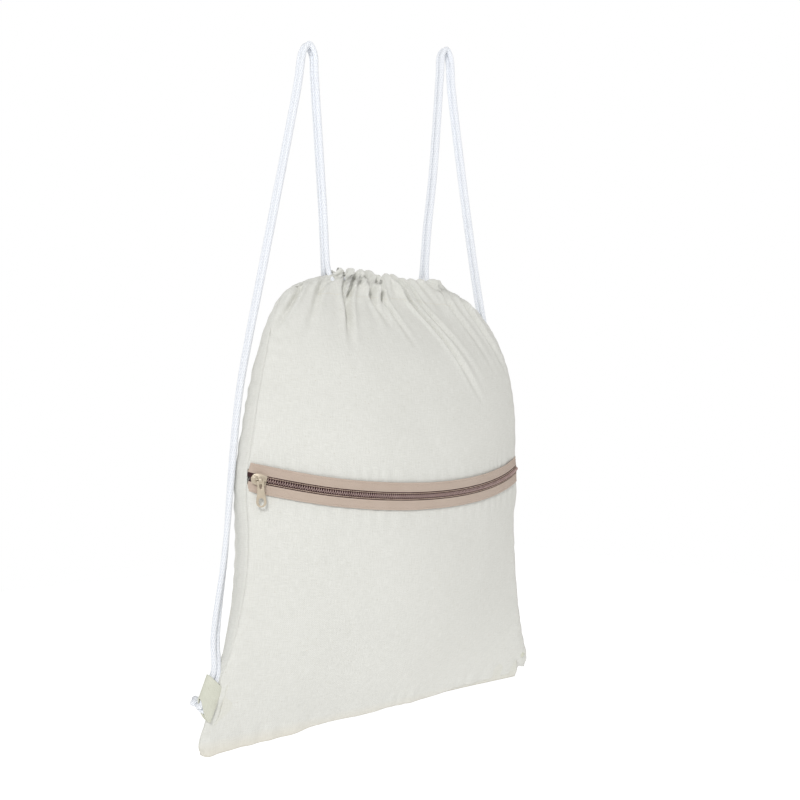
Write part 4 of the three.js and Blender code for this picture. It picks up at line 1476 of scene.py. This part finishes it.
# %% Make the folded tabs
def tab_sleeve(side, label):
    around = np.linspace(0, 1, 97)
    down = np.linspace(0, 1, 37)
    s, d = np.meshgrid(around, down)
    turn = 2 * math.pi * s
    nose = 0.5 - 0.5 * np.cos(turn)
    across = TAB_WIDTH * nose
    belly = np.abs(np.sin(turn)) ** 0.7 * np.sign(np.sin(turn))
    slack = 0.55 + 0.45 * nose
    depth = 3.9 * belly * slack
    crush = 0.35 * soft_noise(np.stack([across, depth, d * 26], -1) + side * 31, 7, 91)
    wavy = 0.7 * soft_noise(np.stack([across, depth, 0 * d + 5 * side], -1), 6, 92)
    sewn = (TAB_WIDTH - across) / TAB_WIDTH
    length = (21 + 7.5 * sewn + 3.5 * (1 - (2 * nose - 1) ** 2)) * d + wavy * (d - 0.5) * 2
    place = in_tab(side, across - 0.4, depth + crush * np.sin(turn), length)
    obj = new_object(f"{label}_folded_tab", place.reshape(-1, 3), grid_faces(*s.shape, side > 0))
    write_uv(obj, np.stack([s * 0.042, d * 0.026], -1).reshape(-1, 2))
    solid = obj.modifiers.new("thickness", "SOLIDIFY")
    solid.thickness = 0.8 * MM
    solid.offset = -1
    obj.data.materials.append(TAB_CLOTH)
    return obj


tabs = {label: tab_sleeve(side, label) for side, label in ((-1, "left"), (1, "right"))}
TAB_STITCH = small_shape(
    "tab_stitch_shape", [(-1.1, 0, -0.3), (-0.7, 0, 0.05), (0.7, 0, 0.05), (1.1, 0, -0.3)], 0.2, 6
)
tab_stitches = {}
for side, label in ((-1, "left"), (1, "right")):
    d = np.linspace(1, TAB_LENGTH - 1, 40)
    _, back_way, _, _ = tab_frame(side)
    line = in_tab(side, 1.6, -2.35, d)
    tab_stitches[label] = set_out(
        f"{label}_tab_stitches", line, np.tile(-back_way, (40, 1)), TAB_STITCH, 2.7, PALE_THREAD, 0.08, 8
    )
print("tab faces", len(tabs["left"].data.polygons))

# %% [markdown]
# ## The pocket's inner wall
#
# Behind the zip a third layer of cotton closes the pocket. Little of it shows, but without it
# the bag would be one space. It is a plain sheet, sewn in at the zip, the sides and the foot.

# %% Make the inner wall
WALL_SHARE = 0.985  # of the zip's half angle
WALL_SLACK = (7, 9, 8, 4.5, 1.6)


def inner_wall():
    angle = ACROSS * WALL_SHARE * ZIP_HALF_ANGLE
    rows = [on_zip(angle, 13, -4.4), on_zip(angle, 2, -4.6), on_zip(angle, -12, -5.6)]
    for section, loose in zip(SECTIONS_BELOW, WALL_SLACK):
        z, half, side, front, back_swell, dip = section
        row = front_row(ACROSS, (z, half - 2.6, side, front, back_swell, dip))
        row[:, 1] += 1.5 + loose * swell_across(ACROSS)
        rows.append(row)
    rows.append(np.stack([182 * share_across(ACROSS), 0 * ACROSS, 0 * ACROSS - 632], -1))
    rows = rows[::-1]
    grid = spline(np.stack(rows), row_places(rows, ROW_SPACING * 1.6))
    edge = np.clip(side_distance(grid) / 20, 0, 1)
    grid = grid + grid_normals(grid) * (0.8 * soft_noise(grid, 38, 81) * edge)[..., None]
    grid = ease_left(grid)
    obj = new_object("pocket_lining", grid.reshape(-1, 3), grid_faces(*grid.shape[:2]))
    write_uv(obj, cloth_distance(grid).reshape(-1, 2))
    return obj


lining = inner_wall()
for obj, finish in (
    (panels["upper"], CANVAS), (panels["pocket"], CANVAS), (panels["back"], CANVAS), (lining, LINING),
):
    obj.data.materials.append(finish)
    solid = obj.modifiers.new("thickness", "SOLIDIFY")
    solid.thickness = CLOTH * MM
    solid.offset = -1
for label in ("left", "right"):
    cords[label]["piece"].data.materials.append(BRAID)
    knots[label].data.materials.append(BRAID)
print("lining faces", len(lining.data.polygons))

# %% [markdown]
# ## Hem stitches
#
# A row of lockstitch closes the hem below the cords, front and back. It follows the gathered
# cloth, so its line is read from the finished panel grid, a little above the surface.

# %% Stitches that follow a panel
def follow_panel(shape, height, first, last, above):
    """A line across a panel at that height, between two shares of its width, above mm off it."""
    normal = grid_normals(shape)
    columns = shape.shape[1]
    line, out = [], []
    for column in range(int(first * (columns - 1)), int(last * (columns - 1)) + 1):
        z = shape[:, column, 2]
        outer = int(np.argmax(z))
        row = int(np.interp(height, z[:outer], np.arange(outer)))
        line.append(shape[row, column])
        out.append(normal[row, column])
    line, out = np.array(line), unit(np.array(out))
    return line + out * above, out


def smoothed(line):
    """Each point averaged with the ones before and after it."""
    thirds = np.ones(3) / 3
    return np.stack([np.convolve(np.pad(values, 1, "edge"), thirds, "valid") for values in line.T], 1)


HEM_STITCH_Z = -242.0
hem_stitches = {}
for label, key, facing in (("front", "upper", 1), ("back", "back", -1)):
    line, out = follow_panel(shapes[key], HEM_STITCH_Z, 0.14, 0.86, 0.05 * facing)
    hem_stitches[label] = set_out(
        f"{label}_hem_stitches", smoothed(line), out * facing, STITCH, 3.1, PALE_THREAD, 0.08, 12
    )
for single in [o for o in bpy.data.objects if o.name.endswith(("_shape", "_loop"))]:
    bpy.data.objects.remove(single)
print("hem stitches", len(hem_stitches["front"].data.polygons), "faces")

# %% [markdown]
# ## What moves, and what each piece stands for
#
# The slider and its pull ride on their own bodies. Everything else is sewn to the bag. The CAD
# solids that each new piece stands for are hidden, so no plain solid is left showing.

# %% Bodies, and hiding the CAD solids
def settle(piece, body, slot, *nodes):
    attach(piece, body)
    if nodes:
        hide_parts(*nodes)


settle(panels["upper"], "bag", "canvas", "front_upper_panel", "front_cord_channel")
settle(panels["pocket"], "bag", "canvas", "front_pocket_panel")
settle(panels["back"], "bag", "canvas", "back_panel", "back_cord_channel")
settle(lining, "bag", "canvas", "pocket_back_panel")
for label in ("upper", "lower"):
    settle(zip_tapes[label], "bag", "zip_tape", f"zip_tape_{label}")
    settle(zip_coils[label], "bag", "zip_chain", f"zip_chain_{label}")
    settle(zip_coils[label + "_bed"], "bag", "zip_chain")
    settle(zip_coils[label + "_sewing"], "bag", "zip_chain")
    settle(tape_stitches[label], "bag", "zip_tape")
settle(slider, "slider", "painted_zinc", "zip_slider")
settle(pull, "pull", "painted_zinc", "pull_tab")
for label in ("front", "back"):
    settle(hem_stitches[label], "bag", "canvas")
for label in ("left", "right"):
    settle(tabs[label], "bag", "tab_cloth", f"{label}_corner_tab")
    settle(tab_stitches[label], "bag", "tab_cloth")
    settle(cords[label]["piece"], "bag", "cord", f"{label}_cord")
    settle(knots[label], "bag", "cord", f"{label}_knot")

# %% [markdown]
# ## Floor and light
#
# The bag hangs in a plain pale studio, well above the floor. Soft lights and a pale surround
# keep shadows faint, and the light from the front left is the strongest, so that the gathers
# and the bulge of the pocket still read.

# %% Floor, lights and view
FLOOR_HALF = 6000
FLOOR_Z = -1500
FLOOR_POINTS = 49


def make_floor():
    steps = np.linspace(-FLOOR_HALF, FLOOR_HALF, FLOOR_POINTS)
    x, y = np.meshgrid(steps, steps)
    z = FLOOR_Z + 0 * x
    faces = grid_faces(FLOOR_POINTS, FLOOR_POINTS)
    obj = new_object("pale_floor", np.stack([x, y, z], -1).reshape(-1, 3), faces)
    material, tree, shader = new_material("pale_floor_paint", 0.9)
    noise = noise_node(tree, object_place(tree), 3.0, 4.0)
    tree.links.new(
        mix_colours(tree, noise.outputs["Fac"], colour(250, 250, 250), colour(254, 254, 254)),
        shader.inputs["Base Color"],
    )
    shader.inputs["Emission Color"].default_value = (1, 1, 1, 1)
    seen = add_node(tree, "ShaderNodeLightPath").outputs["Is Camera Ray"]
    tree.links.new(maths(tree, "MULTIPLY_ADD", seen, 0.24, 0.36), shader.inputs["Emission Strength"])
    obj.data.materials.append(material)


def soft_light(name, place, target, size, power):
    data = bpy.data.lights.new(name, "AREA")
    data.shape = "DISK"
    data.size = size
    data.energy = power
    light = add_object(name, data)
    light.location = place
    direction = Vector(target) - Vector(place)
    light.rotation_euler = direction.to_track_quat("-Z", "Y").to_euler()


AMBIENT = 0.535  # how much the pale surround lights the bag
make_floor()
BAG_MIDDLE = (0, 0, -0.4)
soft_light("key_light", (-1.5, -1.45, 0.6), BAG_MIDDLE, 0.55, 22)
soft_light("fill_light", (1.8, -1.2, 0.1), BAG_MIDDLE, 1.6, 2.5)
soft_light("back_light", (0.6, 1.8, 0.6), BAG_MIDDLE, 1.4, 14)
surround = bpy.data.worlds.new("pale_surround")
surround.use_nodes = True
sky = surround.node_tree
seen = add_node(sky, "ShaderNodeLightPath").outputs["Is Camera Ray"]
strength = maths(sky, "MULTIPLY_ADD", seen, 1.0 - AMBIENT, AMBIENT)
sky.nodes["Background"].inputs["Color"].default_value = (1, 1, 1, 1)
sky.links.new(strength, sky.nodes["Background"].inputs["Strength"])
bpy.context.scene.world = surround
bpy.context.scene.view_settings.view_transform = "Standard"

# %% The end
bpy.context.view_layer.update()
